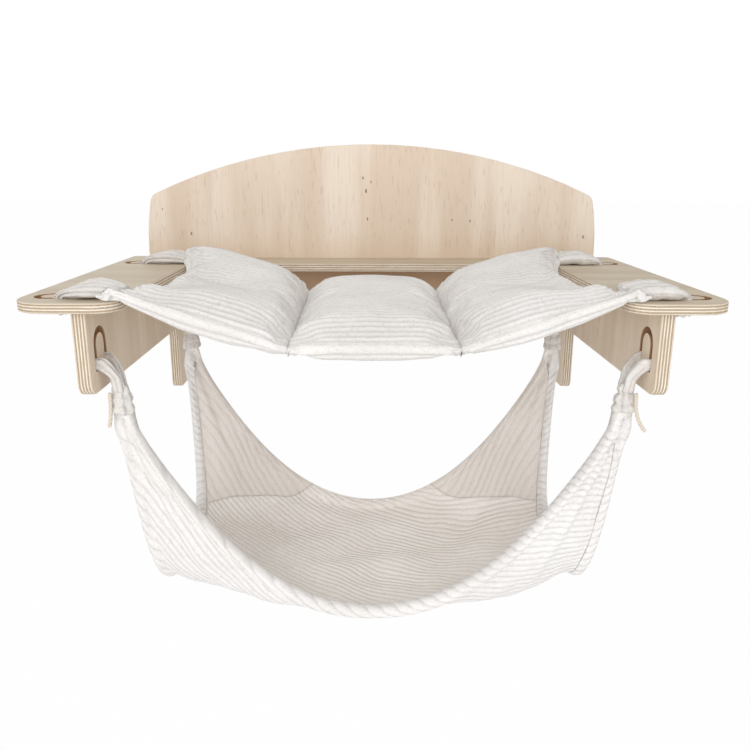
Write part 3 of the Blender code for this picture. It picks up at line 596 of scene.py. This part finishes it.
panel_edges = (-PAD_HALF, -SEAM_X, SEAM_X, PAD_HALF)
stations = []
for low_x, high_x, share in zip(panel_edges, panel_edges[1:], (54, 52, 54)):
    t = np.arange(share) / share
    eased = (1 - np.cos(math.pi * t)) / 2
    stations.extend(low_x + (high_x - low_x) * (0.45 * t + 0.55 * eased))
stations = np.array(stations + [PAD_HALF])
pad = np.array([pad_ring(x, PAD_RIBS * PER_RIB) for x in stations])
pad = on_the_arms(pad, OFF_ARM)
print("pad grid", pad.shape)

# %% [markdown]
# ### Stuffing it
#
# Formulas give the pad its size but not the way that filled cloth swells and puckers. A coarse
# copy, with every eighth point around and every second station, runs as cloth: it is held at the
# seams and the ends, cut a little larger than the bag, and blown up from inside. Only how far each
# point moved is kept, at most 3 mm, and spread over the fine rings.

# %% Pad simulation
MOST_MOVED, LAST_FRAME = 0.003, 20
STUFFING = {
    "quality": 7, "mass": 0.25, "tension_stiffness": 12, "compression_stiffness": 12,
    "bending_stiffness": 0.4, "shrink_min": -0.035, "vertex_group_mass": "sewn",
    "use_pressure": True, "uniform_pressure_force": 2.5,
}


def blown_up(grid, held, cap):
    rehearsal = woven("pad_rehearsal", grid, pad_cloth, caps=True)
    group = rehearsal.vertex_groups.new(name="sewn")
    group.add(np.flatnonzero(held.ravel()).tolist(), 1.0, "REPLACE")
    cloth = rehearsal.modifiers.new("stuffing", "CLOTH")
    for setting, value in STUFFING.items():
        setattr(cloth.settings, setting, value)
    cloth.settings.effector_weights.gravity = 0
    cloth.point_cache.frame_start = 1
    cloth.point_cache.frame_end = LAST_FRAME
    for number in range(1, LAST_FRAME + 1):
        scene.frame_set(number)
    seen = rehearsal.evaluated_get(bpy.context.evaluated_depsgraph_get()).data
    after = np.empty(len(seen.vertices) * 3, np.float32)
    seen.vertices.foreach_get("co", after)
    moved = after.reshape(grid.shape) - grid
    scene.frame_set(1)
    bpy.data.objects.remove(rehearsal)
    far = np.linalg.norm(moved, axis=2, keepdims=True)
    return moved * np.minimum(1, cap / np.maximum(far, 1e-9))


def spread_over(coarse, rows, columns, fine_rows, fine_columns):
    around = np.concatenate([coarse, coarse[:, :1]], axis=1)
    columns = np.append(columns, fine_columns[-1] + 1)
    wide = np.array([read_at(fine_columns, columns, line) for line in around])
    lines = [read_at(fine_rows, rows, wide[:, k]) for k in range(len(fine_columns))]
    return np.array(lines).transpose(1, 0, 2)


pad_rows, pad_columns = np.arange(len(stations)), np.arange(PAD_RIBS * PER_RIB)
rows, columns = pad_rows[::2], pad_columns[::8]
coarse = pad[::2, ::8]
size = np.abs(stations[::2])
sewn = (np.abs(size - SEAM_X) < 0.0025) | (size > PAD_HALF - 0.004)
held = np.repeat(sewn[:, None], len(columns), axis=1)
moved = blown_up(coarse, held, MOST_MOVED)
swell = spread_over(moved, rows, columns, pad_rows, pad_columns)
pad = pad + swell
print("swelled by up to", round(float(np.abs(swell).max()) / MM, 1), "mm")

# %% [markdown]
# ### Ribs and puckers
#
# The ribs are real: each is a soft swell 1.5 mm high with a narrow valley. Beside the two seams
# the thread draws the cloth into short slanted puckers, which die away over 15 mm, and a few
# longer creases run in from the ends, where the straps pull. The noise is seeded by the place,
# so it is the same on every run.

# %% Pad surface
RIB_HEIGHT, PUCKER_DEPTH, CREASE_DEPTH = 0.0015, 0.0017, 0.0012
LUMP_HEIGHT, WANDER, PUCKER_REACH = 0.0016, 0.0011, 0.015


def lumps(points, scale, seed):
    flat = points.reshape(-1, 3)
    shift = Vector((seed * 3.7, seed * 1.3, -seed * 2.1))
    values = [noise.noise(Vector(p) * scale + shift) for p in flat.tolist()]
    return np.array(values).reshape(points.shape[:-1])


def rib_rise(ribs, shape):
    count = np.arange(shape[1]) / shape[1] * ribs
    return np.broadcast_to(2 * np.abs(count - np.round(count)), shape[:2])


normal = outward(pad)
run = np.cumsum(np.linalg.norm(np.roll(pad, -1, axis=1) - pad, axis=2), axis=1)
off_seam = np.abs(np.abs(pad[..., 0]) - SEAM_X)
lean = np.sign(np.abs(pad[..., 0]) - SEAM_X) * np.sin(run * 9)
pucker = np.sin(run * 235 + off_seam * 90 * lean + 3.2 * lumps(pad, 24, 1))
pucker = pucker * np.exp(-off_seam / PUCKER_REACH) * smoothstep(off_seam / 0.004)
ends = smoothstep((np.abs(pad[..., 0]) - 0.125) / 0.07)
depth_off = pad[..., 1] + 0.22
creases = np.sin(np.arctan2(depth_off, np.abs(np.abs(pad[..., 0]) - 0.235) + 0.02) * 11 + 1.4)
creases = creases * ends * np.exp(-np.abs(depth_off) / 0.06)
along_cloth = unit(np.roll(pad, -1, axis=1) - np.roll(pad, 1, axis=1))
rise = rib_rise(PAD_RIBS, pad.shape)
depth = RIB_HEIGHT * (rise**0.7 - 0.7) + PUCKER_DEPTH * pucker + CREASE_DEPTH * creases
depth = depth + LUMP_HEIGHT * lumps(pad, 34, 3)
pad = pad + normal * depth[..., None] + along_cloth * (WANDER * lumps(pad, 19, 2))[..., None]
pad = on_the_arms(pad, OFF_ARM)


def closed_ends(grid, bulge, steps=6):
    across = np.roll(grid[:, ::-1], 1, axis=1)
    first, last = [], []
    for end, rows in ((0, first), (-1, last)):
        middle = (grid[end] + across[end]) / 2
        out = math.copysign(bulge, grid[end][:, 0].mean())
        for k in range(1, steps + 1):
            turned = math.pi / 2 * k / steps
            row = middle + (grid[end] - middle) * math.cos(turned)
            row[:, 0] += out * math.sin(turned)
            rows.append(row)
    return np.concatenate([np.array(first[::-1]), grid, np.array(last)])


bag = on_the_arms(closed_ends(pad, 0.006), 0.0005)
edge_rows = (len(bag) - len(pad)) // 2
rise_mark = np.pad(rise, ((edge_rows, edge_rows), (0, 0)), mode="edge")
seat_pad = close_up(woven("quilted_pad", bag, pad_cloth, marks={"rise": rise_mark}))
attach(seat_pad, "frame")
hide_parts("seat_pad")
print("pad", len(seat_pad.data.polygons), "faces")

# %% [markdown]
# ### Seam stitches
#
# The seams are sewn right through the pad. Each stitch is a short thread, 3.6 mm long, that lies
# in the seam's valley on the outside of the cloth. The station at each seam gives the line, and
# the front edge, where the two layers meet, has none.

# %% Stitches
def thread_run(name, points, out, length=0.0036, gap=0.0034, radius=0.00045):
    run = run_along(points)
    bm = bmesh.new()
    at = gap
    front = points[:, 1].min() + 0.004
    while at + length < run[-1]:
        if np.interp(at + length / 2, run, points[:, 1]) < front:
            at += length + gap
            continue
        spots = []
        for k in range(5):
            here = at + length * k / 4
            lift = Vector(read_at(here, run, out)).normalized()
            lift *= radius * (0.9 if 0 < k < 4 else -0.6)
            spots.append(Vector(read_at(here, run, points)) + lift)
        rings = []
        for k, spot in enumerate(spots):
            before, after = spots[max(k - 1, 0)], spots[min(k + 1, 4)]
            along = (after - before).normalized()
            side = along.orthogonal().normalized()
            other = along.cross(side)
            size = radius * (1.0 if 0 < k < 4 else 0.45)
            turns = [2 * math.pi * j / 6 for j in range(6)]
            rings.append([
                bm.verts.new(spot + side * (size * math.cos(a)) + other * (size * math.sin(a)))
                for a in turns
            ])
        for first, second in zip(rings, rings[1:]):
            for j in range(6):
                bm.faces.new((first[j], first[j - 1], second[j - 1], second[j]))
        bm.faces.new(rings[0])
        bm.faces.new(rings[-1][::-1])
        at += length + gap
    mesh = bpy.data.meshes.new(name)
    settle(bm, mesh)
    mesh.materials.append(sewing_thread)
    return placed(name, mesh)


final_normal = outward(pad)
for name, seam in (("left", -SEAM_X), ("right", SEAM_X)):
    at = int(np.argmin(np.abs(stations - seam)))
    stitches = thread_run("pad_stitches_" + name, pad[at], final_normal[at])
    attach(stitches, "frame")
    print(stitches.name, len(stitches.data.polygons), "faces")

# %% [markdown]
# ## The pad's straps
#
# Four puffy loops hold the pad. Each is a tube of the same cloth: it runs from the pad along the
# arm, narrows to dive through a branch of the slot, passes under the tongue and comes back. A
# strap is a row of sections, each with a centre, a half width and a half thickness, joined by a
# smooth curve. The ribs run along it and crowd together where it is squeezed.

# %% Strap helper
ROUNDNESS = 0.95


def strap_grid(keys, steps, sides):
    keys = np.array(keys, float)
    angle = 2 * math.pi * np.arange(sides) / sides
    c, s = np.cos(angle), np.sin(angle)
    c, s = np.sign(c) * np.abs(c) ** ROUNDNESS, np.sign(s) * np.abs(s) ** ROUNDNESS
    rings = []
    for i in range(len(keys) - 1):
        a, b = keys[max(i - 1, 0)], keys[i]
        d, e = keys[i + 1], keys[min(i + 2, len(keys) - 1)]
        for k in range(steps + (i == len(keys) - 2)):
            t = k / steps
            bend = (2 * a - 5 * b + 4 * d - e) * t**2 + (3 * b - a - 3 * d + e) * t**3
            centre, wide, thick = b + 0.5 * ((d - a) * t + bend)
            rings.append(centre + np.outer(c, wide) + np.outer(s, thick))
    return np.array(rings)


def strap_cloth_marks(grid, ribs, swell, wrinkle, seed):
    normal = outward(grid)
    rise = rib_rise(ribs, grid.shape)
    height = swell * (rise**0.7 - 0.8) + wrinkle * lumps(grid, 70, seed)
    height = height + wrinkle * 0.45 * lumps(grid, 190, seed + 50)
    return grid + normal * height[..., None], rise


# %% Pad straps
THIN, BROAD = 0.0024, 0.0058
SLOT_HALF = 0.01225
PLY, CLEAR = 0.0092, 0.0012
down_x, slant = 0.261 + BROAD + CLEAR, math.sqrt(0.5)
ON_TOP = (
    (0.2185, 0, 0.0044, 0.0094, 0, 0.0040), (0.2310, 0, 0.0064, 0.0112, 0, 0.0061),
    (0.2460, 0.0006, 0.0068, 0.0110, 0, 0.0065), (0.2560, 0, 0.0058, 0.0088, 0, 0.0054),
    (0.2630, 0, 0.0042, 0.0058, 0.0012, 0.0038),
)


def strap_keys(side, y_centre):
    across_x = side * down_x
    under = -PLY - THIN - CLEAR
    keys = [((across_x, y_centre, under), (0, 0, -THIN), (side * BROAD, 0, 0))]
    for sign in (-1, 1):
        y = y_centre + sign * SLOT_HALF
        leg = [
            ((side * x, y + sign * shift, z), (0, sign * wide, 0), (side * lean, 0, thick))
            for x, shift, z, wide, lean, thick in ON_TOP
        ]
        leg += [
            ((across_x, y, 0.0008), (0, sign * THIN, 0), (side * BROAD * 0.8, 0, 0.0012)),
            ((across_x, y, -PLY * 0.35), (0, sign * THIN, 0), (side * BROAD, 0, 0)),
            ((across_x, y, -PLY), (0, sign * THIN, 0), (side * BROAD, 0, 0)),
            ((across_x, y - sign * THIN * 0.9, under + THIN * 0.2),
             (0, sign * THIN * slant, -THIN * slant), (side * BROAD, 0, 0)),
        ]
        keys = leg + keys if sign < 0 else keys + leg[::-1]
    return keys


corners = [
    (place + "_" + side_name, side, y_centre)
    for place, y_centre in (("front", FRONT_Y), ("rear", REAR_Y))
    for side_name, side in (("left", -1), ("right", 1))
]
for corner, side, y_centre in corners:
    grid = strap_grid(strap_keys(side, y_centre), 8, 56)
    seed = 5 + 2 * side + (3 if y_centre == REAR_Y else 0)
    grid, rise = strap_cloth_marks(grid, 7, 0.0012, 0.0016, seed)
    on_top = np.abs(grid[..., 0]) < down_x - BROAD - 0.0005
    grid[..., 2] = np.where(on_top, np.maximum(grid[..., 2], 0.0005), grid[..., 2])
    name = "pad_strap_" + corner
    strap = close_up(woven(name, grid, strap_cloth, caps=True, marks={"rise": rise}))
    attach(strap, "frame")
    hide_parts("pad_loop_" + corner)
print("strap", len(strap.data.polygons), "faces")

# %% [markdown]
# ## The hammock
#
# The hammock is a double cloth, a shell outside and a lining inside, sewn along its border and
# gathered to four corners. It cannot be simulated well from flat cloth, since its shape comes
# from where it was cut. It is built as a sheet over two parameters: u runs from left to right, v
# from front to rear, and the walls rise towards the corners. Lines of v are spaced by length, and
# the last 16 mm at every border have lines of their own for the hem.

# %% Hammock sheet
FRONT_CORNER_X, REAR_CORNER_X, CORNER_Z = 0.2275, 0.222, -0.100
MIDDLE_HALF, FRONT_DROP, REAR_DROP = 0.214, 0.3225, 0.314


def hammock_points(u, v):
    back = (v + 1) / 2
    wall = np.abs(v) ** 6.5
    corner_x = FRONT_CORNER_X * (1 - back) + REAR_CORNER_X * back
    half = MIDDLE_HALF + (corner_x - MIDDLE_HALF) * np.abs(v) ** 5
    y = -0.322 * (1 - back) - 0.071 * back - np.sign(v) * 0.006 * np.abs(v) ** 6 * (1 - u * u)
    low = FRONT_DROP * (1 - back) + REAR_DROP * back + 0.006 * (1 - v * v) * (1 - u * u)
    floor = -low + 0.011 * np.abs(v) ** 14 + 0.022 * np.abs(u) ** 3 * (1 - 0.3 * wall)
    rise = 0.85 * u**2 + 0.15 * u**4
    z = floor + (CORNER_Z - floor) * rise * wall
    return np.stack(np.broadcast_arrays(u * half, y, z), axis=-1)


def line_spacing(length, hem, hem_lines, lines):
    start = np.linspace(0, hem, hem_lines, endpoint=False)
    middle = np.linspace(hem, length - hem, lines - 2 * hem_lines)
    return np.concatenate([start, middle, length - start[::-1]])


U_LINES, V_LINES, HEM_LINES = 228, 176, 8
HEM_U = 0.936
edge_u = np.linspace(HEM_U, 1.0, HEM_LINES + 1)
inner_u = np.linspace(-HEM_U, HEM_U, U_LINES - 2 * HEM_LINES)
us = np.concatenate([-edge_u[:0:-1], inner_u, edge_u[1:]])
dense_v = np.linspace(-1, 1, 1601)
sheet = np.empty((len(us), V_LINES, 3))
run_v = np.empty((len(us), V_LINES))
vs = np.empty((len(us), V_LINES))
for i, u in enumerate(us):
    curve = hammock_points(u, dense_v)
    run = run_along(curve)
    run_v[i] = line_spacing(run[-1], HEM, HEM_LINES, V_LINES)
    vs[i] = np.interp(run_v[i], run, dense_v)
    sheet[i] = hammock_points(u, vs[i])
run_u = run_along(sheet)
from_left, from_right = run_u, run_u[-1] - run_u
from_front, from_rear = run_v, run_v[:, -1:] - run_v
to_side = np.minimum(from_left, from_right)
to_rim = np.minimum(from_front, from_rear)
to_border = np.minimum(to_side, to_rim)
middle_u = len(us) // 2
print("rim", round(float(run_u[-1, 0]), 3), "m, depth", round(float(run_v[middle_u, -1]), 3), "m")

# %% [markdown]
# Folds fan out from each gathered corner and die away over about 85 mm. On the floor the cloth
# lies in a few long, soft folds, which a smooth noise stretched from left to right gives.
# The sheet's normals are turned to point up.

# %% Hammock folds
HEM_ROLL, CLOTH_HALF = 0.0070, 0.0024
FOLD_REACH, FOLD_HEIGHTS, FOLD_COUNTS = 0.085, (0.0034, 0.0022, 0.0012), (4, 11, 19)
SLACK_BROAD, SLACK_FINE, BUNCH, BULGE = 0.0065, 0.0026, 0.0125, 0.007
turn = np.arctan2(to_side, to_rim)
reach = np.hypot(to_side, to_rim)
fade = np.exp(-reach / FOLD_REACH) * smoothstep(reach / 0.012)
folds = sum(
    height * np.sin(count * turn + start)
    for height, count, start in zip(FOLD_HEIGHTS, FOLD_COUNTS, (0, 1.0, 0))
)
slack = lumps(sheet * np.array([1.0, 1.6, 1.0]), 11, 21) * SLACK_BROAD
slack = slack + lumps(sheet, 30, 22) * SLACK_FINE
away = smoothstep(to_border / 0.05)
sheet_normal = -outward(sheet, around=False)
surface = sheet + sheet_normal * (folds * fade + slack * away)[..., None]
outside = np.sign(us)[:, None]
bunch = np.exp(-((reach / 0.035) ** 2))
surface[..., 0] -= outside * (turn / (math.pi / 2) - 0.5) * BUNCH * bunch
bulge = np.exp(-to_side / 0.030) * smoothstep(reach / 0.03) * np.exp(-((reach / 0.17) ** 2))
surface[..., 0] += outside * BULGE * bulge
roll = np.clip(to_border / HEM, 0, 1)
hem_half = HEM_ROLL * np.sqrt(np.maximum(1 - (2 * roll - 1) ** 2, 0))
half = np.maximum(hem_half, CLOTH_HALF * smoothstep(to_border / 0.010))
half = np.maximum(half, HEM_ROLL * np.exp(-((reach / 0.032) ** 2)) - 0.0008)
print("folds up to", round(float(np.abs(folds * fade).max()) / MM, 1), "mm")

# %% [markdown]
# ### Ribs of the two layers
#
# The layers were cut with their ribs on opposite slants. On the lining they run from the left
# rear to the right front and flatten towards the right. On the shell they follow the front rim at
# the left, cross it at 28 degrees in the middle and turn steep at the right. Each layer gets its
# count of ribs from lengths along the cloth, with the slant summed up along the way.

# %% Rib counts
SHELL_PITCH, LINING_PITCH, WALL_PITCH, HEM_PITCH = 0.0072, 0.0078, 0.0074, 0.0095
rim_slope = unit(np.gradient(sheet, axis=0))[..., 2]
step_v = np.diff(run_v, axis=1, prepend=0)
square_off = np.cumsum(step_v * np.sqrt(1 - rim_slope**2), axis=1)
rim_run = run_u[:, :1] - run_u[middle_u, 0]
foot = rim_run - np.cumsum(step_v * rim_slope, axis=1)
share = rim_run[:, 0] / np.abs(rim_run).max()
slope = np.arctan(0.53 * np.exp(1.85 * share))
summed = np.concatenate([[0], np.cumsum(np.sin(slope[1:]) * np.diff(rim_run[:, 0]))])
cosine_there = np.interp(foot, rim_run[:, 0], np.cos(slope))
summed_there = np.interp(foot, rim_run[:, 0], summed)
shell_rib = (square_off * cosine_there - summed_there) / SHELL_PITCH

along = run_v - run_v[:, V_LINES // 2 : V_LINES // 2 + 1]
sideways = sheet[..., 0]
lining_rib = (along + 0.5 * sideways - 1.3 * sideways**2) / LINING_PITCH
lining_rib = lining_rib + 1.1 * lumps(sheet, 9, 23) + 0.7 * lumps(sheet, 24, 24)

# %% [markdown]
# The lining's rear wall is creased where it stands up from the floor. The crease starts low at
# the sides and runs out into the rim. Above it the ribs fan down from both gathered corners. The
# mark crease is the distance below that line, and wall_rib is the count above it. The material
# changes over at zero, sharper than the mesh could, and darkens the wall above the line and the
# line itself with painted shade.

# %% Rear wall
WALL_TALLEST, OFF_WALL = 0.19, 0.05
wall_height = WALL_TALLEST * (0.85 * us**2 + 0.15 * us**4)
wall_height = wall_height + 0.012 * smoothstep((np.abs(us) - 0.78) / 0.2)
wall_height = wall_height - 0.035 * (1 - smoothstep((np.abs(us) - 0.20) / 0.32))
wall_height = wall_height[:, None] + 0.005 * lumps(sheet, 20, 27)
crease = np.where((vs > 0) & (to_side >= HEM), from_rear - wall_height, OFF_WALL)
up_wall = wall_height - from_rear
wall_rib = (0.45 * up_wall - 0.9 * np.sqrt(sideways**2 + 0.05**2)) / WALL_PITCH
wall_rib = wall_rib + 0.7 * lumps(sheet, 15, 25)
shell_crease = crease[:, -1:] + from_rear * 20
shell_wall_rib = 2 * wall_rib[:, -1:] - wall_rib

# %% [markdown]
# At a border the cloth wraps from one layer to the other, so a count must carry on across it:
# beyond the edge it runs on as the mirror image of what it did before. The sides have folded
# hems of their own with slanted ribs, except at the left front. The mark calm fades the ribs out
# where they are lost in the gathers of a corner, and where the plain side turns into a hem.

# %% Borders
wrapped_front = 2 * shell_rib[:, :1] - shell_rib
wrapped_left = 2 * shell_rib[:1] - shell_rib
wrapped_rear = 2 * lining_rib[:, -1:] - lining_rib
up_side = smoothstep((from_front - 0.33) / 0.16)
side_hem = from_front / HEM_PITCH + to_border * (60 + 70 * up_side)
by_side = to_side < to_rim
plain_side = by_side & (vs < 0) & (us[:, None] < 0)
hemmed = by_side & ~plain_side
in_front = ~by_side & (vs < 0)
behind = ~by_side & (vs >= 0)
lining_hem = np.select(
    [plain_side, hemmed, in_front], [wrapped_left, side_hem, wrapped_front], lining_rib,
)
shell_hem = np.select([hemmed, behind], [side_hem, wrapped_rear], shell_rib)
calm = smoothstep((reach - 0.012) / 0.016)
calm = calm * (1 - np.exp(-((vs / 0.03) ** 2)) * (from_left < HEM * 1.5))
# seam sets how strongly each hem's seam groove is dented and darkened with painted shade
lining_seam = np.where(behind, 0.0, 0.6)
shell_seam = np.select([hemmed, in_front], [0.12, 0.40], 0.0)


def surface_edge(end):
    return (end + end[::-1])[None] / 2


upper = surface + sheet_normal * half[..., None]
lower = surface - sheet_normal * half[..., None]
grid = np.concatenate([upper, lower[:, ::-1]], axis=1)
grid = np.concatenate([surface_edge(grid[0]), grid, surface_edge(grid[-1])])


def both_layers(inside, outside_layer):
    mark = np.concatenate([inside, outside_layer[:, ::-1]], axis=1)
    return np.pad(mark, ((1, 1), (0, 0)), mode="edge")


# inner_cloth and turned_out mark where the lining's brighter, painted-light colours show
inner_cloth = np.where(behind, 1.0, smoothstep((to_border - 0.010) / 0.006))
turned_out = np.where(behind, 1 - smoothstep(to_border / HEM), 0.0)
layers = {
    "rib": (lining_rib, shell_rib),
    "edge": (to_border, to_border),
    "hem_rib": (lining_hem, shell_hem),
    "lining": (inner_cloth, turned_out),
    "calm": (calm, calm),
    "crease": (crease, shell_crease),
    "wall_rib": (wall_rib, shell_wall_rib),
    "seam": (lining_seam, shell_seam),
}
marks = {mark: both_layers(*pair) for mark, pair in layers.items()}
hammock = close_up(woven("hammock_cloth_sheet", grid, hammock_cloth, marks=marks), 0.00001)
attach(hammock, "hammock")
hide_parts("hammock")

# %% [markdown]
# ## Loops and necks of the hammock
#
# Each corner is gathered into a neck. A loop grows out of the neck, and its two strands go
# through the branches of the bracket's slot and around its tongue. The neck is a short drum of
# three ruched coils.

# %% Loops
LOOP_Z = -0.058
NECK, NECK_TOP, NECK_LENGTH, COILS = 0.0098, -0.0775, 0.0290, 3
BEND_TOP, BEND_FOOT = -0.062, -0.099


def loop_keys(side, corner_x, y_centre):
    inner, outer = side * 0.2425, side * 0.2545
    neck_x = side * corner_x
    round_x = outer + side * 0.0036
    keys = [((round_x, y_centre, LOOP_Z), (side * THIN, 0, 0), (0, 0, BROAD))]
    for sign in (-1, 1):
        y, merge = y_centre + sign * SLOT_HALF, sign * NECK
        leg = [
            ((neck_x, y_centre + merge * 0.42, -0.085), (0, merge * 0.40, 0),
             (-side * NECK * 0.5, 0, 0)),
            ((neck_x * 0.85 + inner * 0.15, y_centre + merge * 0.72, -0.0706),
             (0, merge * 0.40, 0), (-side * NECK * 0.5, 0, THIN * 0.6)),
            ((inner - side * BROAD, y - merge * 0.2, LOOP_Z - THIN),
             (side * THIN * 0.6, sign * THIN * 1.3, 0), (-side * THIN * 0.9, 0, BROAD * 0.95)),
            ((inner - side * CLEAR, y, LOOP_Z), (0, sign * THIN, 0), (0, 0, BROAD)),
            ((outer + side * CLEAR, y, LOOP_Z), (0, sign * THIN, 0), (0, 0, BROAD)),
            ((round_x - side * THIN * 0.2, y - sign * THIN * 0.9, LOOP_Z),
             (side * THIN * slant, sign * THIN * slant, 0), (0, 0, BROAD)),
        ]
        keys = leg + keys if sign < 0 else keys + leg[::-1]
    return keys


def neck_grid(x, y, seed, depth, rows=48, sides=60):
    height = np.linspace(0, 1, rows)
    z = NECK_TOP - NECK_LENGTH * height
    coil = np.abs(np.sin(height * math.pi * COILS)) ** 0.6
    taper = np.clip(np.minimum(height, 1 - height) / 0.10, 0, 1) ** 0.5
    angle = 2 * math.pi * np.arange(sides) / sides
    pleat = 1 + 0.05 * np.sin(angle * 7 + seed)[None, :] * np.ones((rows, 1))
    width = 0.66 + 0.34 * smoothstep(height * 1.3) + 0.10 * height
    radius = NECK * (width * (1 - depth + depth * coil))[:, None]
    radius = radius * (0.35 + 0.65 * taper)[:, None] * pleat
    z = z[:, None] + 0.0011 * np.cos(angle + seed)[None, :] * np.ones((rows, 1))
    points = np.stack([x + radius * np.cos(angle), y + radius * np.sin(angle), z], axis=2)
    crumple = (0.0013 * lumps(points, 150, seed) + 0.0006 * lumps(points, 380, seed))[..., None]
    return points + outward(points) * crumple, rib_rise(6, points.shape)


def joined(name, parts, material):
    made = [woven(name, grid, material, caps=True, marks={"rise": rise}) for grid, rise in parts]
    bm = bmesh.new()
    for piece in made:
        bm.from_mesh(piece.data)
    settle(bm, made[0].data)
    for piece in made[1:]:
        bpy.data.objects.remove(piece)
    return made[0]


def bend_span(x, y):
    return Vector((x, y, BEND_TOP)), Vector((x, y, BEND_FOOT))


for corner, side, y_centre in corners:
    at_rear = y_centre == REAR_Y
    corner_x = REAR_CORNER_X if at_rear else FRONT_CORNER_X
    seed = 31 + 2 * side + (3 if at_rear else 0)
    strands = strap_grid(loop_keys(side, corner_x, y_centre), 8, 40)
    strands = strap_cloth_marks(strands, 5, 0.0007, 0.0013, seed)
    neck = neck_grid(side * corner_x, y_centre, seed, 0.26 if side > 0 else 0.14)
    loop = joined("hammock_strap_" + corner, [strands, neck], strap_cloth)
    start, end = bend_span(side * corner_x, y_centre)
    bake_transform(loop)
    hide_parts("hammock_loop_" + corner)
print("loop", len(loop.data.polygons), "faces")

# %% [markdown]
# ## Tail cords
#
# A drawcord gathers each neck, and its free end hangs in front of the front necks: straight at
# the left, with a cut end, and drifting outwards at the right. The cords are cotton, 3.4 mm
# thick, twisted from strands that show as slanted grooves. Each is a tube along its route, which
# repeats the solid's.

# %% Tails
TAIL, TAIL_GAP, TAIL_LAY = 0.0017, 0.0003, 0.0042
TAIL_X, TAIL_Z = 0.2345, -0.085
off_neck = TAIL_X - FRONT_CORNER_X
tail_front = math.sqrt((NECK + TAIL + TAIL_GAP) ** 2 - off_neck**2)
for side_name, side, drift, length in (("left", -1, 0.003, 0.032), ("right", 1, 0.011, 0.036)):
    fallen = np.linspace(0, 1, 49)
    top = np.array([side * TAIL_X, FRONT_Y - tail_front, TAIL_Z])
    route = top + np.stack([side * drift * fallen**2.8, 0 * fallen, -length * fallen], axis=1)
    direction = unit(np.gradient(route, axis=0))
    side_way = unit(np.cross(direction, [0, 1, 0]))
    other_way = np.cross(side_way, direction)
    angle = 2 * math.pi * np.arange(24) / 24
    ends = np.clip(np.minimum(fallen, 1 - fallen) / 0.03, 0, 1) ** 0.5
    size = TAIL * (0.72 + 0.28 * ends)[:, None, None]
    spun = angle[None, :] / (2 * math.pi) * 3 - fallen[:, None] * length / TAIL_LAY
    ring = np.cos(angle)[None, :, None] * side_way[:, None]
    ring = ring + np.sin(angle)[None, :, None] * other_way[:, None]
    groove = 1 - 0.07 * (1 - np.abs(np.sin(spun * math.pi)))[..., None]
    tube = route[:, None] + ring * size * groove
    tail = woven("drawcord_tail_" + side_name, tube, cord_yarn, caps=True, marks={"twist": spun})
    start, end = bend_span(side * FRONT_CORNER_X, FRONT_Y)
    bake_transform(tail)
    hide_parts("tail_cord_" + side_name)

# %% [markdown]
# Its cut is not a rectangle: its border lines are long and its middle is narrow.

# %% [markdown]
# ## The studio
#
# The photograph is a product shot on plain white. A big soft lamp stands in front and above, a
# weaker one low in front and another behind, and an even pale light comes from all around, so
# the inside of the hammock stays a little greyer. The floor lies far below. It keeps the shelf's
# faint shadow, and mixes it with pure white where the camera looks.

# %% Stage
world = bpy.data.worlds.new("studio_air")
world.use_nodes = True
scene.world = world
air = Thread(world.node_tree)


def seen_directly(thread):
    kinds = ("Is Camera Ray", "Is Glossy Ray", "Is Transmission Ray")
    rays = [thread.node("ShaderNodeLightPath", out=kind) for kind in kinds]
    return (rays[0] + rays[1] + rays[2]).maths("MINIMUM", 1.0)


ambient = air.node("ShaderNodeBackground", {"Color": (1.0, 0.99, 0.975, 1), "Strength": 0.75})
white = air.node("ShaderNodeBackground", {"Color": (1, 1, 1, 1), "Strength": 1.0})
both = air.node("ShaderNodeMixShader", {0: seen_directly(air), 1: ambient, 2: white})
drive(world.node_tree.nodes["World Output"], "Surface", both)

floor_finish, ground, shader = finish("studio_floor")
ground.tree.nodes.remove(shader)
matte = ground.node("ShaderNodeBsdfDiffuse", {"Color": (0.92, 0.92, 0.92, 1)})
glow = ground.node("ShaderNodeEmission", {"Color": (1, 1, 1, 1), "Strength": 1.0})
seen = seen_directly(ground) * 0.97
kept = ground.node("ShaderNodeMixShader", {0: seen, 1: matte, 2: glow})
drive(ground.tree.nodes["Material Output"], "Surface", kept)

FLOOR_Z, FLOOR_SIZE = -1.05, 60
bpy.ops.mesh.primitive_plane_add(size=FLOOR_SIZE, location=(0, 0, FLOOR_Z))
studio_floor = bpy.context.object
studio_floor.name = "studio_floor"
studio_floor.data.materials.append(floor_finish)


def lamp(name, place, aim, size, watts):
    data = bpy.data.lights.new(name, "AREA")
    data.shape = "RECTANGLE"
    data.size, data.size_y = size
    data.energy = watts
    made = placed(name, data)
    made.location = place
    made.rotation_euler = (Vector(aim) - Vector(place)).to_track_quat("-Z", "Y").to_euler()
    return made


key = lamp("softbox_front", (-0.35, -2.36, 0.82), (0, -0.2, -0.16), (2.0, 1.4), 18.5)
low = lamp("softbox_low", (-0.05, -2.3, -0.62), (0, -0.25, -0.28), (1.8, 0.8), 8)
back = lamp("softbox_back", (-0.9, 2.1, 0.9), (0, -0.1, -0.1), (1.6, 1.2), 4)
scene.view_settings.view_transform = "Standard"
